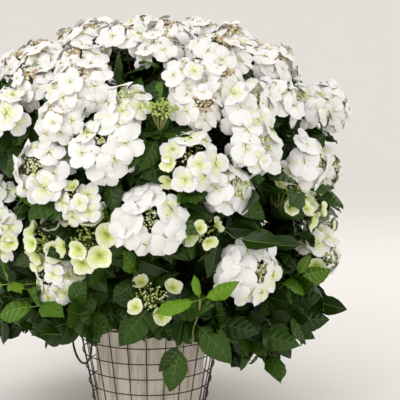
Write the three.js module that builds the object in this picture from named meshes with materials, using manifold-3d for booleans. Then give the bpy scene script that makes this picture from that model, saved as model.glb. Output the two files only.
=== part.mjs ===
// A lacecap hydrangea shrub in a weathered pot, which stands in a wire basket with two drop handles.
// Millimetres, +Z up. The origin is the middle of the basket's underside, and the handles are on X.
import * as THREE from 'three'
import { mergeVertices } from 'three/addons/utils/BufferGeometryUtils.js'
import Module from 'manifold-3d'

const wasm = await Module()
wasm.setup()

// Driving dimensions

const GAP = 0.3 // left between two pieces that touch
const UP = new THREE.Vector3(0, 0, 1)
const SEED = 6 // of the random stream that sets the flower heads out
const STREAM_STEP = 101 // from one mass's stream to the next

const BASKET = {
  rimHeight: 211.5, // middle of the rim wire
  rimRadius: 161,
  footRadius: 121,
  wire: 3,
  rimWire: 4.5,
  square: 0.9, // side of a four-sided wire, as a share of the round one's width
  uprights: 24,
  rings: 5,
  bars: 3, // each way under the pot
  barPitch: 58,
  layer: 0.5, // how far the crossing bars lie above the others
  sink: 0.4, // of the uprights' feet into the lowest ring
}

const POT = { footRadius: 115, rimRadius: 126.5, rimHeight: 220, wall: 9, floor: 12, sides: 24 }
const SOIL_DEPTH = 18 // below the pot's rim

const HANDLE = {
  wire: 5,
  halfWidth: 52,
  drop: 84,
  standOff: 14, // of the grip from the hinge line, away from the basket
  eyeRadius: 6.7, // middle of the wire that rings the rim
  inset: 0.6, // of the hinge line from the rim wire's middle
  neckOut: 2, // of the wire below an eye, away from the eye
  neckDrop: 8,
  bendDrop: 19, // below the hinge line, where the wire turns straight down
  sides: 4,
  steps: 22,
  eyeSides: 4,
  eyeSteps: 8,
}

const CROWN = {
  core: new THREE.Vector3(0, 0, 330), // the masses part along planes through this point
  top: 852, // of the highest flower head's middle
  loft: 18, // of leaves over that
  wide: 590,
  wideRadius: 395,
  hem: 190,
  hemRadius: 300,
  roundness: 2.3, // of the dome above its widest level
  front: 240, // the direction that the front heads are told from, in degrees round from +X
}

const CANE = {
  footRadius: 5.6,
  tipRadius: 4.2,
  sides: 4,
  steps: 4,
  lean: 0.3, // outwards for each unit up, at the foot
  buried: 8,
  footPull: 0.4, // how far each end keeps its direction, as a share of the length
  tipPull: 0.3,
  samples: 60, // places along a cane that leaves are kept off
}
const TWIG = {
  leaderRadius: 5.4,
  radius: 2.7,
  tipRadius: 2.5,
  sides: 3,
  steps: 3,
  stem: 26, // of the mass's foot below its middle reach
  leaderPull: 0.35,
  pull: 0.34,
  firstFork: 0.1, // where along the leader the other twigs leave it
  forkRun: 0.36,
}
const LEAF = {
  length: 130,
  width: 0.58,
  widest: 0.46, // where along the blade
  thickness: 0.022,
  thickest: 0.34,
  fold: 0.14, // how far the sides rise
  drop: 0.05, // how far the tip falls
  start: 0.7, // of the root from the middle of its twig
  smallest: 0.82,
  sizeSpread: 0.3,
}
// How a leaf stands on its twig: shares of sideways, onward and downward
const STANCE = {
  aside: 0.8,
  onward: 0.5,
  sag: 0.12,
  droop: 0.5, // more, on the lowest twigs
  droopTop: 560, // height where that starts
  droopRun: 360,
  upright: 0.45,
  firstRoll: Math.PI / 4,
  rollSpread: 0.5,
}
const HEAD = {
  lobes: 6,
  notch: 0.78,
  drop: 7, // of the rim
  notchDrop: 0.3, // of that, at the notches
  rise: 13, // of the ring
  crest: 0.7, // of that, at the middle
  ring: 0.56,
  depth: 24, // of the stalks' cone
  radius: 62,
  radiusSpread: 12,
  bulge: 26,
  spacing: 116, // between heads at the top
  lowSpacing: 156,
  crowding: 1.5, // how much sooner the top fills than the hem
}
const CLEAR = { space: 0.8, cane: 3, pot: 4, wall: 12, handle: 12 } // kept by leaves and twigs

// Elevation is told from the crown's core. The turn is where a tier's first mass lies.
const TIERS = [
  { name: 'top', count: 1, elevation: 90, turn: 0, footRing: 0, reach: 0.55 },
  { name: 'upper', count: 5, elevation: 52, turn: 24, footRing: 17, reach: 0.52 },
  { name: 'middle', count: 6, elevation: 20, turn: 30, footRing: 31, reach: 0.5 },
  { name: 'lower', count: 8, elevation: -10, turn: 22.5, footRing: 46, reach: 0.5 },
]

// The heads that stand out on the front: degrees round from the front, height, bulge from the crown, radius
const FRONT_HEADS = [
  [-10, 826, 0, 68],
  [33, 790, 4, 68],
  [6, 690, -14, 38],
  [34, 690, 0, 68],
  [-9, 612, 6, 68],
  [92, 672, 38, 66],
  [14, 585, 8, 68],
  [34, 610, 4, 62],
  [3, 476, 18, 72],
  [-15, 430, 4, 62],
  [-27, 352, 6, 58],
  [2, 352, -22, 46],
  [34, 368, 20, 72],
  [70, 372, 34, 60],
]

const MAX_TIPS = 240 // places tried for the remaining heads
const LOWEST_HEAD = 300
// Leafy shoots below the heads
const SHOOTS = { count: 18, height: 232, rise: 34, turnSpread: 0.3, heightSpread: 16 }
const GOLDEN_TURN = Math.PI * (3 - Math.sqrt(5))

// Where the pairs of leaves stand along a twig
const NODES = { head: [0.5, 0.78], shoot: [0.45, 0.65, 0.83, 0.985], leader: [0.12, 0.24, 0.38] }
const PAIR_STAGGER = 0.025 // of the twig, so that the two stalks of a pair stay apart

// Turns round the twig and sizes that are tried for a leaf, until it fits
const LEAF_TRIES = [
  [0, 1],
  [0.45, 1],
  [-0.45, 1],
  [0.9, 0.85],
  [-0.9, 0.85],
  [0, 0.75],
  [0.5, 0.65],
  [-0.5, 0.65],
]

// Helpers

const radians = THREE.MathUtils.degToRad

function randomStream(seed) {
  let state = seed >>> 0
  return () => {
    state = (state + 0x6d2b79f5) >>> 0
    let t = state
    t = Math.imul(t ^ (t >>> 15), t | 1)
    t ^= t + Math.imul(t ^ (t >>> 7), t | 61)
    return ((t ^ (t >>> 14)) >>> 0) / 4294967296
  }
}

function polar(radius, angle, z) {
  return new THREE.Vector3(radius * Math.cos(angle), radius * Math.sin(angle), z)
}

function mesh(name, geometry, material) {
  const result = new THREE.Mesh(geometry, material)
  result.name = name
  return result
}

function closed(geometry) {
  const bare = geometry.index ? geometry : geometry.clone()
  bare.deleteAttribute('normal')
  bare.deleteAttribute('uv')
  return mergeVertices(bare, 1e-4)
}

function asSolid(geometry) {
  const welded = closed(geometry)
  return new wasm.Manifold(
    new wasm.Mesh({
      numProp: 3,
      vertProperties: new Float32Array(welded.attributes.position.array),
      triVerts: new Uint32Array(welded.index.array),
    }),
  )
}

function asGeometry(solid) {
  const { vertProperties, triVerts } = solid.getMesh()
  const geometry = new THREE.BufferGeometry()
  geometry.setAttribute('position', new THREE.BufferAttribute(vertProperties, 3))
  geometry.setIndex(new THREE.BufferAttribute(triVerts, 1))
  return geometry
}

function joined(geometries) {
  return asGeometry(geometries.map(asSolid).reduce((whole, next) => whole.add(next)))
}

function faceted(points, faces) {
  const geometry = new THREE.BufferGeometry()
  const positions = points.flatMap((p) => [p.x, p.y, p.z])
  geometry.setAttribute('position', new THREE.Float32BufferAttribute(positions, 3))
  geometry.setIndex(faces.flat())
  return geometry
}

// A ring of four-sided wire round Z, with its middle at radius and height
function wireRing(radius, height, wire, segments) {
  const half = wire / 2
  const corners = [
    [radius - half, height - half],
    [radius + half, height - half],
    [radius + half, height + half],
    [radius - half, height + half],
    [radius - half, height - half],
  ].map(([r, z]) => new THREE.Vector2(r, z))
  return new THREE.LatheGeometry(corners, segments).rotateX(Math.PI / 2)
}

// A body turned round Z, from a profile of radius and height that starts and ends on the axis
function turned(profile, segments) {
  const points = profile.map(([r, z]) => new THREE.Vector2(r, z))
  return new THREE.LatheGeometry(points, segments).rotateX(Math.PI / 2)
}

function bar(from, to, thickness) {
  const along = to.clone().sub(from)
  const box = new THREE.BoxGeometry(thickness, thickness, along.length())
  const out = new THREE.Vector3(from.x, from.y, 0).normalize()
  const z = along.clone().normalize()
  const y = new THREE.Vector3().crossVectors(z, out).normalize()
  const x = new THREE.Vector3().crossVectors(y, z)
  const turn = new THREE.Matrix4().makeBasis(x, y, z)
  return box.applyMatrix4(turn).translate(...from.clone().add(to).multiplyScalar(0.5).toArray())
}

// The rings of a limb that tapers evenly along a curve, and the faces between them and over its foot
function limbRings(curve, startRadius, endRadius, sides, steps) {
  const frames = curve.computeFrenetFrames(steps)
  const points = []
  const faces = []
  for (let i = 0; i <= steps; i++) {
    const middle = curve.getPointAt(i / steps)
    const radius = THREE.MathUtils.lerp(startRadius, endRadius, i / steps)
    for (let j = 0; j < sides; j++) {
      const angle = (2 * Math.PI * j) / sides
      points.push(
        middle
          .clone()
          .addScaledVector(frames.normals[i], radius * Math.cos(angle))
          .addScaledVector(frames.binormals[i], radius * Math.sin(angle)),
      )
    }
  }
  const at = (i, j) => i * sides + (j % sides)
  for (let i = 0; i < steps; i++) {
    for (let j = 0; j < sides; j++) {
      faces.push([at(i, j), at(i, j + 1), at(i + 1, j + 1)])
      faces.push([at(i, j), at(i + 1, j + 1), at(i + 1, j)])
    }
  }
  for (let j = 1; j < sides - 1; j++) {
    faces.push([at(0, 0), at(0, j + 1), at(0, j)])
  }
  const frame = { x: frames.normals[steps], y: frames.binormals[steps], z: frames.tangents[steps] }
  return { points, faces, frame, last: steps * sides }
}

function limb(curve, startRadius, endRadius, sides, steps) {
  const { points, faces, last } = limbRings(curve, startRadius, endRadius, sides, steps)
  for (let j = 1; j < sides - 1; j++) {
    faces.push([last, last + j, last + j + 1])
  }
  return faceted(points, faces)
}

// Planter

const materials = {
  wire: new THREE.MeshStandardMaterial({ color: '#3d332b', roughness: 0.55, metalness: 0.8 }),
  pot: new THREE.MeshStandardMaterial({ color: '#a89c8d', roughness: 0.9, metalness: 0 }),
  soil: new THREE.MeshStandardMaterial({ color: '#33261c', roughness: 1, metalness: 0 }),
  bark: new THREE.MeshStandardMaterial({ color: '#6b5138', roughness: 0.8, metalness: 0 }),
  foliage: new THREE.MeshStandardMaterial({ color: '#8ea06a', roughness: 0.6, metalness: 0 }),
}

function wallRadius(z) {
  const rise = (z - BASKET.wire / 2) / (BASKET.rimHeight - BASKET.wire / 2)
  return THREE.MathUtils.lerp(BASKET.footRadius, BASKET.rimRadius, rise)
}

function basketFrame() {
  const { wire, uprights, footRadius, rimRadius, rimHeight } = BASKET
  const footHeight = wire / 2
  const pieces = [
    wireRing(rimRadius, rimHeight, BASKET.rimWire * BASKET.square, uprights),
    wireRing(footRadius, footHeight, wire, uprights),
  ]
  for (let i = 0; i < uprights; i++) {
    const angle = (2 * Math.PI * i) / uprights
    const foot = polar(footRadius, angle, footHeight - BASKET.sink)
    const top = polar(rimRadius, angle, rimHeight)
    pieces.push(bar(foot, top, wire * BASKET.square))
  }
  return joined(pieces)
}

// The rings of the wall lie round the uprights
function basketRing(index) {
  const { wire, square, rings, uprights, rimHeight } = BASKET
  const height = (rimHeight * (index + 1)) / (rings + 1)
  return wireRing(wallRadius(height) + wire + GAP, height, wire * square, uprights)
}

// How far out the lowest ring's inner face lies, at a distance aside from the middle
function footReach(aside) {
  const inner = BASKET.footRadius - BASKET.wire / 2
  const step = (2 * Math.PI) / BASKET.uprights
  const corner = Math.floor(Math.asin(aside / inner) / step)
  const near = polar(inner, corner * step, 0)
  const far = polar(inner, (corner + 1) * step, 0)
  return THREE.MathUtils.lerp(near.x, far.x, (aside - near.y) / (far.y - near.y))
}

// Two layers of crossing bars. The lower one stands on the floor and the upper one carries the pot.
function basketBase() {
  const { wire, bars, barPitch, layer } = BASKET
  const pieces = []
  for (let i = 0; i < bars; i++) {
    const offset = (i - (bars - 1) / 2) * barPitch
    const length = 2 * (footReach(Math.abs(offset) + wire / 2) - GAP)
    pieces.push(new THREE.BoxGeometry(wire, length, wire - layer).translate(offset, 0, (wire - layer) / 2))
    pieces.push(new THREE.BoxGeometry(length, wire, wire - layer).translate(0, offset, (wire + layer) / 2))
  }
  return joined(pieces)
}

function pot() {
  const foot = BASKET.wire + GAP
  return turned(
    [
      [0, foot],
      [POT.footRadius, foot],
      [POT.rimRadius, POT.rimHeight],
      [POT.rimRadius - POT.wall, POT.rimHeight],
      [POT.footRadius - POT.wall, foot + POT.floor],
      [0, foot + POT.floor],
    ],
    POT.sides,
  )
}

const soilTop = POT.rimHeight - SOIL_DEPTH

function soil() {
  const bottom = BASKET.wire + GAP + POT.floor
  const slope = (POT.rimRadius - POT.footRadius) / (POT.rimHeight - bottom)
  const footRadius = POT.footRadius - POT.wall - 2 * GAP
  return turned(
    [
      [0, bottom + GAP],
      [footRadius, bottom + GAP],
      [footRadius + slope * (soilTop - bottom), soilTop],
      [0, soilTop],
    ],
    POT.sides,
  )
}

// The hinge line is a chord under the rim wire, through the two eyes of a handle
const hingeReach = Math.sqrt(BASKET.rimRadius ** 2 - HANDLE.halfWidth ** 2) - HANDLE.inset

function handle() {
  const { halfWidth, drop, eyeRadius } = HANDLE
  const { rimHeight } = BASKET
  const grip = hingeReach + HANDLE.standOff
  const eyeSide = hingeReach + eyeRadius
  const bendTop = rimHeight - drop + halfWidth
  const half = [
    new THREE.Vector3(eyeSide, halfWidth, rimHeight),
    new THREE.Vector3(eyeSide + HANDLE.neckOut, halfWidth, rimHeight - HANDLE.neckDrop),
    new THREE.Vector3(grip, halfWidth, rimHeight - HANDLE.bendDrop),
    new THREE.Vector3(grip, halfWidth, bendTop),
  ]
  for (const degrees of [22.5, 45, 67.5]) {
    const angle = radians(degrees)
    half.push(new THREE.Vector3(grip, halfWidth * Math.cos(angle), bendTop - halfWidth * Math.sin(angle)))
  }
  const low = new THREE.Vector3(grip, 0, rimHeight - drop)
  const otherHalf = half.map((p) => new THREE.Vector3(p.x, -p.y, p.z)).reverse()
  const path = new THREE.CatmullRomCurve3([...half, low, ...otherHalf], false, 'centripetal')
  const radius = HANDLE.wire / 2
  const circle = new THREE.EllipseCurve(0, 0, radius, radius)
  const section = new THREE.Shape(circle.getPoints(HANDLE.sides).slice(0, -1))
  const sweep = { steps: HANDLE.steps, bevelEnabled: false, extrudePath: path }
  const pieces = [new THREE.ExtrudeGeometry(section, sweep)]
  for (const side of [-1, 1]) {
    const eye = new THREE.TorusGeometry(eyeRadius, radius, HANDLE.eyeSides, HANDLE.eyeSteps)
    pieces.push(eye.rotateX(Math.PI / 2).translate(hingeReach, side * halfWidth, rimHeight))
  }
  return joined(pieces)
}

// Crown

function crownRadius(z) {
  if (z >= CROWN.wide) {
    const t = Math.min(1, (z - CROWN.wide) / (CROWN.top - CROWN.wide))
    return CROWN.wideRadius * (1 - t ** CROWN.roundness) ** (1 / CROWN.roundness)
  }
  const t = (CROWN.wide - z) / (CROWN.wide - CROWN.hem)
  return THREE.MathUtils.lerp(CROWN.wideRadius, CROWN.hemRadius, t * t)
}

// Which way the crown's surface faces at a height
function crownFacing(angle, z) {
  const step = 4
  const high = Math.min(z + step, CROWN.top - 1)
  const low = high - 2 * step
  const slope = (crownRadius(low) - crownRadius(high)) / (high - low)
  return polar(1, angle, slope).normalize()
}

function tip(angle, z, bulge, radius, leafy) {
  const facing = crownFacing(angle, z)
  const position = polar(crownRadius(z), angle, z).addScaledVector(facing, bulge)
  const direction = position.clone().sub(CROWN.core).normalize()
  return { angle, z, facing, position, direction, radius, leafy }
}

function crownTips() {
  const random = randomStream(SEED)
  const tips = FRONT_HEADS.map(([turn, z, bulge, radius]) =>
    tip(radians(CROWN.front + turn), z, bulge, radius, false),
  )
  for (let k = 0; k < MAX_TIPS; k++) {
    const z = CROWN.top - (CROWN.top - LOWEST_HEAD) * (k / MAX_TIPS) ** HEAD.crowding
    const bulge = HEAD.bulge * (random() - 0.5)
    const radius = HEAD.radius + HEAD.radiusSpread * (random() - 0.5)
    const candidate = tip(k * GOLDEN_TURN, z, bulge, radius, false)
    const lowness = (CROWN.top - z) / (CROWN.top - LOWEST_HEAD)
    const apart = THREE.MathUtils.lerp(HEAD.spacing, HEAD.lowSpacing, lowness ** HEAD.crowding)
    if (tips.every((other) => other.position.distanceTo(candidate.position) > apart)) {
      tips.push(candidate)
    }
  }
  for (let k = 0; k < SHOOTS.count; k++) {
    const angle = (2 * Math.PI * (k + SHOOTS.turnSpread * random())) / SHOOTS.count
    const z = SHOOTS.height + SHOOTS.rise * (k % 2) + SHOOTS.heightSpread * (random() - 0.5)
    tips.push(tip(angle, z, 0, 0, true))
  }
  return tips
}

// Each tip goes to the mass that it lies nearest to in direction. A mass has a foot, which its cane
// reaches up to, and a leader, the twig that goes straight on from the cane.
function crownMasses(tips) {
  const masses = []
  for (const tier of TIERS) {
    for (let i = 0; i < tier.count; i++) {
      const angle = radians(tier.turn) + (2 * Math.PI * i) / tier.count
      const elevation = radians(tier.elevation)
      const direction = polar(Math.cos(elevation), angle, Math.sin(elevation))
      const number = tier.count > 1 ? `_${i + 1}` : ''
      masses.push({ name: `${tier.name}${number}`, tier, angle, direction, tips: [] })
    }
  }
  for (const each of tips) {
    each.mass = nearestTo(each.direction, masses)
    each.mass.tips.push(each)
  }
  for (const mass of masses) {
    const heading = new THREE.Vector3()
    mass.tips.forEach((each) => heading.add(each.direction))
    mass.heading = heading.normalize()
    const reaches = mass.tips.map((each) => each.position.distanceTo(CROWN.core))
    const reach = (reaches.reduce((sum, each) => sum + each) / reaches.length) * mass.tier.reach
    mass.foot = CROWN.core.clone().addScaledVector(heading, reach - TWIG.stem)
    mass.leader = nearestTo(heading, mass.tips)
  }
  return masses
}

function nearestTo(direction, candidates) {
  return candidates.reduce((a, b) => (a.direction.dot(direction) >= b.direction.dot(direction) ? a : b))
}

function caneCurve(mass) {
  const foot = polar(mass.tier.footRing, mass.angle, soilTop + GAP)
  const end = mass.foot.clone().addScaledVector(mass.heading, -GAP)
  const length = foot.distanceTo(end)
  const start = polar(CANE.lean, mass.angle, 1).normalize()
  return new THREE.CubicBezierCurve3(
    foot.clone().addScaledVector(start, -CANE.buried),
    foot.clone().addScaledVector(start, CANE.footPull * length),
    end.clone().addScaledVector(mass.heading, -CANE.tipPull * length),
    end,
  )
}

// A cane, cut flat where it leaves the soil
function cane(mass) {
  const solid = asSolid(limb(mass.cane, CANE.footRadius, CANE.tipRadius, CANE.sides, CANE.steps))
  const width = 2 * POT.rimRadius
  const ground = new THREE.BoxGeometry(width, width, width).translate(0, 0, soilTop + GAP - width / 2)
  return asGeometry(solid.subtract(asSolid(ground)))
}

function twigEnd(each) {
  return each.position.clone().addScaledVector(each.facing, each.leafy ? 0 : -HEAD.depth)
}

// A place on a twig's straight runs, and the way that the run points
function onTwig(curve, share) {
  const run = Math.min(Math.floor(share * TWIG.steps), TWIG.steps - 1)
  const from = curve.getPointAt(run / TWIG.steps)
  const to = curve.getPointAt((run + 1) / TWIG.steps)
  return { point: from.clone().lerp(to, share * TWIG.steps - run), along: to.sub(from).normalize() }
}

// The leader goes on from the cane, and the other twigs leave it one after another
function growTwigs(mass) {
  const leader = mass.leader
  const end = twigEnd(leader)
  const length = mass.foot.distanceTo(end)
  leader.twig = new THREE.CubicBezierCurve3(
    mass.foot,
    mass.foot.clone().addScaledVector(mass.heading, TWIG.leaderPull * length),
    end.clone().addScaledVector(arrival(leader), -TWIG.leaderPull * length),
    end,
  )
  const others = mass.tips.filter((each) => each !== leader)
  others.forEach((each, k) => {
    const share = TWIG.firstFork + (TWIG.forkRun * (k + 0.5)) / others.length
    const { point: root, along } = onTwig(leader.twig, share)
    const tipEnd = twigEnd(each)
    const away = tipEnd.clone().sub(root)
    const start = away.clone().normalize().add(along).normalize()
    each.twig = new THREE.CubicBezierCurve3(
      root,
      root.clone().addScaledVector(start, TWIG.pull * away.length()),
      tipEnd.clone().addScaledVector(arrival(each), -TWIG.pull * away.length()),
      tipEnd,
    )
  })
}

// Which way a twig points at its end
function arrival(each) {
  return each.leafy ? each.direction : each.facing
}

// How far a flower head's lobe may reach before it would press into a neighbour's space
function lobeReach(each, outward, tips) {
  const ray = each.position.clone().sub(CROWN.core)
  let reach = each.radius
  for (const other of tips) {
    if (other === each) continue
    const across = each.direction.clone().sub(other.direction).normalize()
    const closing = -outward.dot(across)
    if (closing > 0) reach = Math.min(reach, (ray.dot(across) - 2 * CLEAR.space) / closing)
  }
  return reach
}

// A twig that ends in a flower head: lobes of florets in a shallow dome, over the cone of their stalks
function headedTwig(each, startRadius, tips) {
  const rings = limbRings(each.twig, startRadius, TWIG.tipRadius, TWIG.sides, TWIG.steps)
  const { points, faces, frame, last } = rings
  const { x, y, z } = frame
  const place = (radius, angle, height) =>
    each.position
      .clone()
      .addScaledVector(x, radius * Math.cos(angle))
      .addScaledVector(y, radius * Math.sin(angle))
      .addScaledVector(z, height)
  const rim = points.length
  const rimCount = 2 * HEAD.lobes
  const lobes = []
  for (let i = 0; i < HEAD.lobes; i++) {
    const angle = (2 * Math.PI * i) / HEAD.lobes
    const between = angle + Math.PI / HEAD.lobes
    const outward = place(1, angle, 0).sub(each.position)
    const outwardBetween = place(1, between, 0).sub(each.position)
    const lobe = lobeReach(each, outward, tips)
    const notch = Math.min(lobe * HEAD.notch, lobeReach(each, outwardBetween, tips))
    lobes.push(lobe)
    points.push(place(lobe, angle, -HEAD.drop))
    points.push(place(notch, between, -HEAD.notchDrop * HEAD.drop))
  }
  const ring = points.length
  lobes.forEach((lobe, i) => {
    points.push(place(lobe * HEAD.ring, (2 * Math.PI * i) / HEAD.lobes, HEAD.rise))
  })
  const crest = points.length
  points.push(place(0, 0, HEAD.crest * HEAD.rise))
  const onRim = (b) => rim + (b % rimCount)
  const perSide = rimCount / TWIG.sides
  for (let a = 0; a < TWIG.sides; a++) {
    for (let b = a * perSide; b < (a + 1) * perSide; b++) {
      faces.push([last + a, onRim(b + 1), onRim(b)])
    }
    faces.push([last + a, last + ((a + 1) % TWIG.sides), onRim((a + 1) * perSide)])
  }
  for (let i = 0; i < HEAD.lobes; i++) {
    const mid = ring + i
    const nextMid = ring + ((i + 1) % HEAD.lobes)
    faces.push([mid, onRim(2 * i), onRim(2 * i + 1)], [mid, onRim(2 * i + 1), nextMid])
    faces.push([nextMid, onRim(2 * i + 1), onRim(2 * i + 2)], [crest, mid, nextMid])
  }
  return faceted(points, faces)
}

// The corners of a leaf: its root, left side, right side, tip and the top of its blade, over the keel
function leafPoints(root, direction, facing, length) {
  const across = new THREE.Vector3().crossVectors(facing, direction).normalize()
  const upper = new THREE.Vector3().crossVectors(direction, across)
  const half = (length * LEAF.width) / 2
  const place = (along, aside, above) =>
    root
      .clone()
      .addScaledVector(direction, along)
      .addScaledVector(across, aside)
      .addScaledVector(upper, above)
  return [
    place(LEAF.start, 0, 0),
    place(length * LEAF.widest, half, LEAF.fold * half),
    place(length * LEAF.widest, -half, LEAF.fold * half),
    place(length, 0, -LEAF.drop * length),
    place(length * LEAF.thickest, 0, length * (LEAF.thickness - LEAF.thickest * LEAF.drop)),
  ]
}

const LEAF_FACES = [
  [4, 0, 2],
  [4, 2, 3],
  [4, 3, 1],
  [4, 1, 0],
  [0, 3, 2],
  [0, 1, 3],
]

// Points spread over a leaf's edges and midrib
function leafSamples(points) {
  const [root, left, right, end] = points
  const samples = [root, left, right, end]
  for (const share of [0.25, 0.5, 0.75]) {
    samples.push(root.clone().lerp(end, share))
    for (const side of [left, right]) {
      samples.push(root.clone().lerp(side, share), side.clone().lerp(end, share))
    }
  }
  return samples
}

// True where a point is in its mass's space: nearer in direction to one of its own tips than to any other's
function inSpace(point, mass, tips) {
  const ray = point.clone().sub(CROWN.core)
  const own = nearestTo(ray, mass.tips)
  return tips.every((other) => {
    if (other.mass === mass) return true
    const across = own.direction.clone().sub(other.direction)
    return ray.dot(across) / across.length() > CLEAR.space
  })
}

// True where a point is clear of the planter, of the way that its handles swing and of the canes
function isClear(point, masses) {
  const radius = Math.hypot(point.x, point.y)
  const wall = wallRadius(Math.min(point.z, BASKET.rimHeight)) + CLEAR.wall
  if (point.z < POT.rimHeight + CLEAR.pot && radius < wall) return false
  const reach = hingeReach + HANDLE.drop + HANDLE.wire
  const low = BASKET.rimHeight - HANDLE.drop - HANDLE.wire
  const high = BASKET.rimHeight + HANDLE.standOff + HANDLE.wire
  const beside = Math.abs(point.y) < HANDLE.halfWidth + CLEAR.handle && Math.abs(point.x) < reach
  if (beside && point.z > low && point.z < high) return false
  if (point.z > CROWN.top + CROWN.loft) return false
  return masses.every((other) =>
    other.canePoints.every((joint) => joint.distanceTo(point) > CANE.footRadius + CLEAR.cane),
  )
}

// What a mass holds so far, each piece with its box, so that a new leaf can be kept off it
class Placed {
  constructor() {
    this.pieces = []
  }

  add(geometry, twig) {
    geometry.computeBoundingBox()
    this.pieces.push({ solid: asSolid(geometry), box: geometry.boundingBox, twig })
  }

  isFree(geometry, twig) {
    geometry.computeBoundingBox()
    const others = this.pieces.filter((piece) => piece.twig !== twig)
    const near = others.filter((piece) => piece.box.intersectsBox(geometry.boundingBox))
    if (near.length === 0) return true
    const solid = asSolid(geometry)
    return near.every((piece) => piece.solid.intersect(solid).isEmpty())
  }
}

// The first of the tries that fits, or null
function growLeaf(root, along, roll, size, fits) {
  const level = new THREE.Vector3().crossVectors(along, UP)
  if (level.lengthSq() < 1e-3) level.set(1, 0, 0)
  level.normalize()
  const rise = new THREE.Vector3().crossVectors(level, along)
  const droop = THREE.MathUtils.clamp((STANCE.droopTop - root.z) / STANCE.droopRun, 0, 1)
  for (const [turn, scale] of LEAF_TRIES) {
    const angle = roll + turn
    const direction = new THREE.Vector3()
      .addScaledVector(level, STANCE.aside * Math.cos(angle))
      .addScaledVector(rise, STANCE.aside * Math.sin(angle))
      .addScaledVector(along, STANCE.onward)
      .addScaledVector(UP, -STANCE.sag - STANCE.droop * droop)
      .normalize()
    const facing = along.clone().addScaledVector(UP, STANCE.upright)
    facing.addScaledVector(direction, -facing.dot(direction)).normalize()
    const points = leafPoints(root, direction, facing, size * scale)
    const geometry = faceted(points, LEAF_FACES)
    if (fits(points, geometry)) return geometry
  }
  return null
}

// A mass of twigs, flower heads and leaves, joined into one body
function foliage(mass, masses, tips, index) {
  const random = randomStream(SEED + STREAM_STEP * (index + 1))
  const pieces = []
  const placed = new Placed()
  for (const each of mass.tips) {
    const startRadius = each === mass.leader ? TWIG.leaderRadius : TWIG.radius
    const piece = each.leafy
      ? limb(each.twig, startRadius, TWIG.tipRadius, TWIG.sides, TWIG.steps)
      : headedTwig(each, startRadius, tips)
    pieces.push(piece)
    placed.add(piece, each)
  }
  for (const each of mass.tips) {
    const outer = each.leafy ? NODES.shoot : NODES.head
    const nodes = each === mass.leader ? [...NODES.leader, ...outer] : outer
    nodes.forEach((share, k) => {
      const quarter = (k % 2) * (Math.PI / 2)
      const roll = quarter + STANCE.rollSpread * (random() - 0.5) + STANCE.firstRoll
      for (const side of [0, 1]) {
        const { point: root, along } = onTwig(each.twig, share - PAIR_STAGGER * side)
        const size = LEAF.length * (LEAF.smallest + LEAF.sizeSpread * random())
        const fits = (points, geometry) =>
          leafSamples(points).every((point) => inSpace(point, mass, tips)) &&
          leafSamples(points).every((point) => isClear(point, masses)) &&
          placed.isFree(geometry, each)
        const leaf = growLeaf(root, along, roll + Math.PI * side, size, fits)
        if (leaf) {
          pieces.push(leaf)
          placed.add(leaf, null)
        }
      }
    })
  }
  return joined(pieces)
}

// Assembly

const part = new THREE.Group()
part.add(mesh('pot', pot(), materials.pot))
part.add(mesh('soil', soil(), materials.soil))
part.add(mesh('basket_frame', basketFrame(), materials.wire))
part.add(mesh('basket_base', basketBase(), materials.wire))
for (let i = 0; i < BASKET.rings; i++) {
  part.add(mesh(`basket_ring_${i + 1}`, basketRing(i), materials.wire))
}
for (const [name, turn] of [['handle_right', 0], ['handle_left', Math.PI]]) {
  const piece = mesh(name, handle(), materials.wire)
  piece.rotation.z = turn
  part.add(piece)
}

const tips = crownTips()
const masses = crownMasses(tips)
for (const mass of masses) {
  mass.cane = caneCurve(mass)
  mass.canePoints = mass.cane.getSpacedPoints(CANE.samples)
  growTwigs(mass)
}
masses.forEach((mass, index) => {
  part.add(mesh(`cane_${mass.name}`, cane(mass), materials.bark))
  part.add(mesh(`foliage_${mass.name}`, foliage(mass, masses, tips, index), materials.foliage))
})

export default part
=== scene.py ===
"""A lacecap hydrangea in a weathered pot, which stands in a wire basket with two drop handles.

The crown grows by a rule whose sizes are in millimetres. Every mesh is in metres, with +Z up and the
floor at zero. The flower heads stand on a dome round the crown's core. Twigs fork from the canes to the
heads and to the leafy shoots below them, and leaves stand on the twigs in crossed pairs.
"""

from __future__ import annotations

import logging
from collections.abc import Callable, Iterable, Sequence
from dataclasses import dataclass, field
from enum import Enum, IntEnum
from math import cos, pi, radians, sin, sqrt

import bpy
import numpy as np
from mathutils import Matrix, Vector
from numpy.linalg import norm

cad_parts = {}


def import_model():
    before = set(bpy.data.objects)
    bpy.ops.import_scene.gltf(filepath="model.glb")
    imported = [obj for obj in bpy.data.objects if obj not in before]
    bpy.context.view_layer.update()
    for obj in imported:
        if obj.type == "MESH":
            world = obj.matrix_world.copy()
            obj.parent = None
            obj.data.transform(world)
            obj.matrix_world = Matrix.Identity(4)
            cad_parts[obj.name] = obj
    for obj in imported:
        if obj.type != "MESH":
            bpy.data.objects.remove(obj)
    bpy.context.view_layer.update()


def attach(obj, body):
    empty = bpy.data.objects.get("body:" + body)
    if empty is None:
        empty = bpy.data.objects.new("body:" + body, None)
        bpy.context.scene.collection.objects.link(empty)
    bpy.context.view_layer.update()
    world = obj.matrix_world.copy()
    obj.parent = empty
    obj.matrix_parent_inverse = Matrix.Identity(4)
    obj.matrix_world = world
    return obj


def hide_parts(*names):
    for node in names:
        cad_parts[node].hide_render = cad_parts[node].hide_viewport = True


log = logging.getLogger("hydrangea")

MM = 0.001
UP = np.array([0.0, 0.0, 1.0])
GOLDEN_TURN = pi * (3 - sqrt(5))
SOIL_TOP = 202.0
BASKET_FOOT = 121.0
BASKET_RIM = 161.0
BASKET_HEIGHT = 211.5
BASKET_WIRE = 3.0
Array = np.ndarray
Piece = bpy.types.Object
Socket = bpy.types.NodeSocket
Colour = tuple[float, float, float]
Scales = tuple[float, float, float]


# Small sums and seeds


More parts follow.
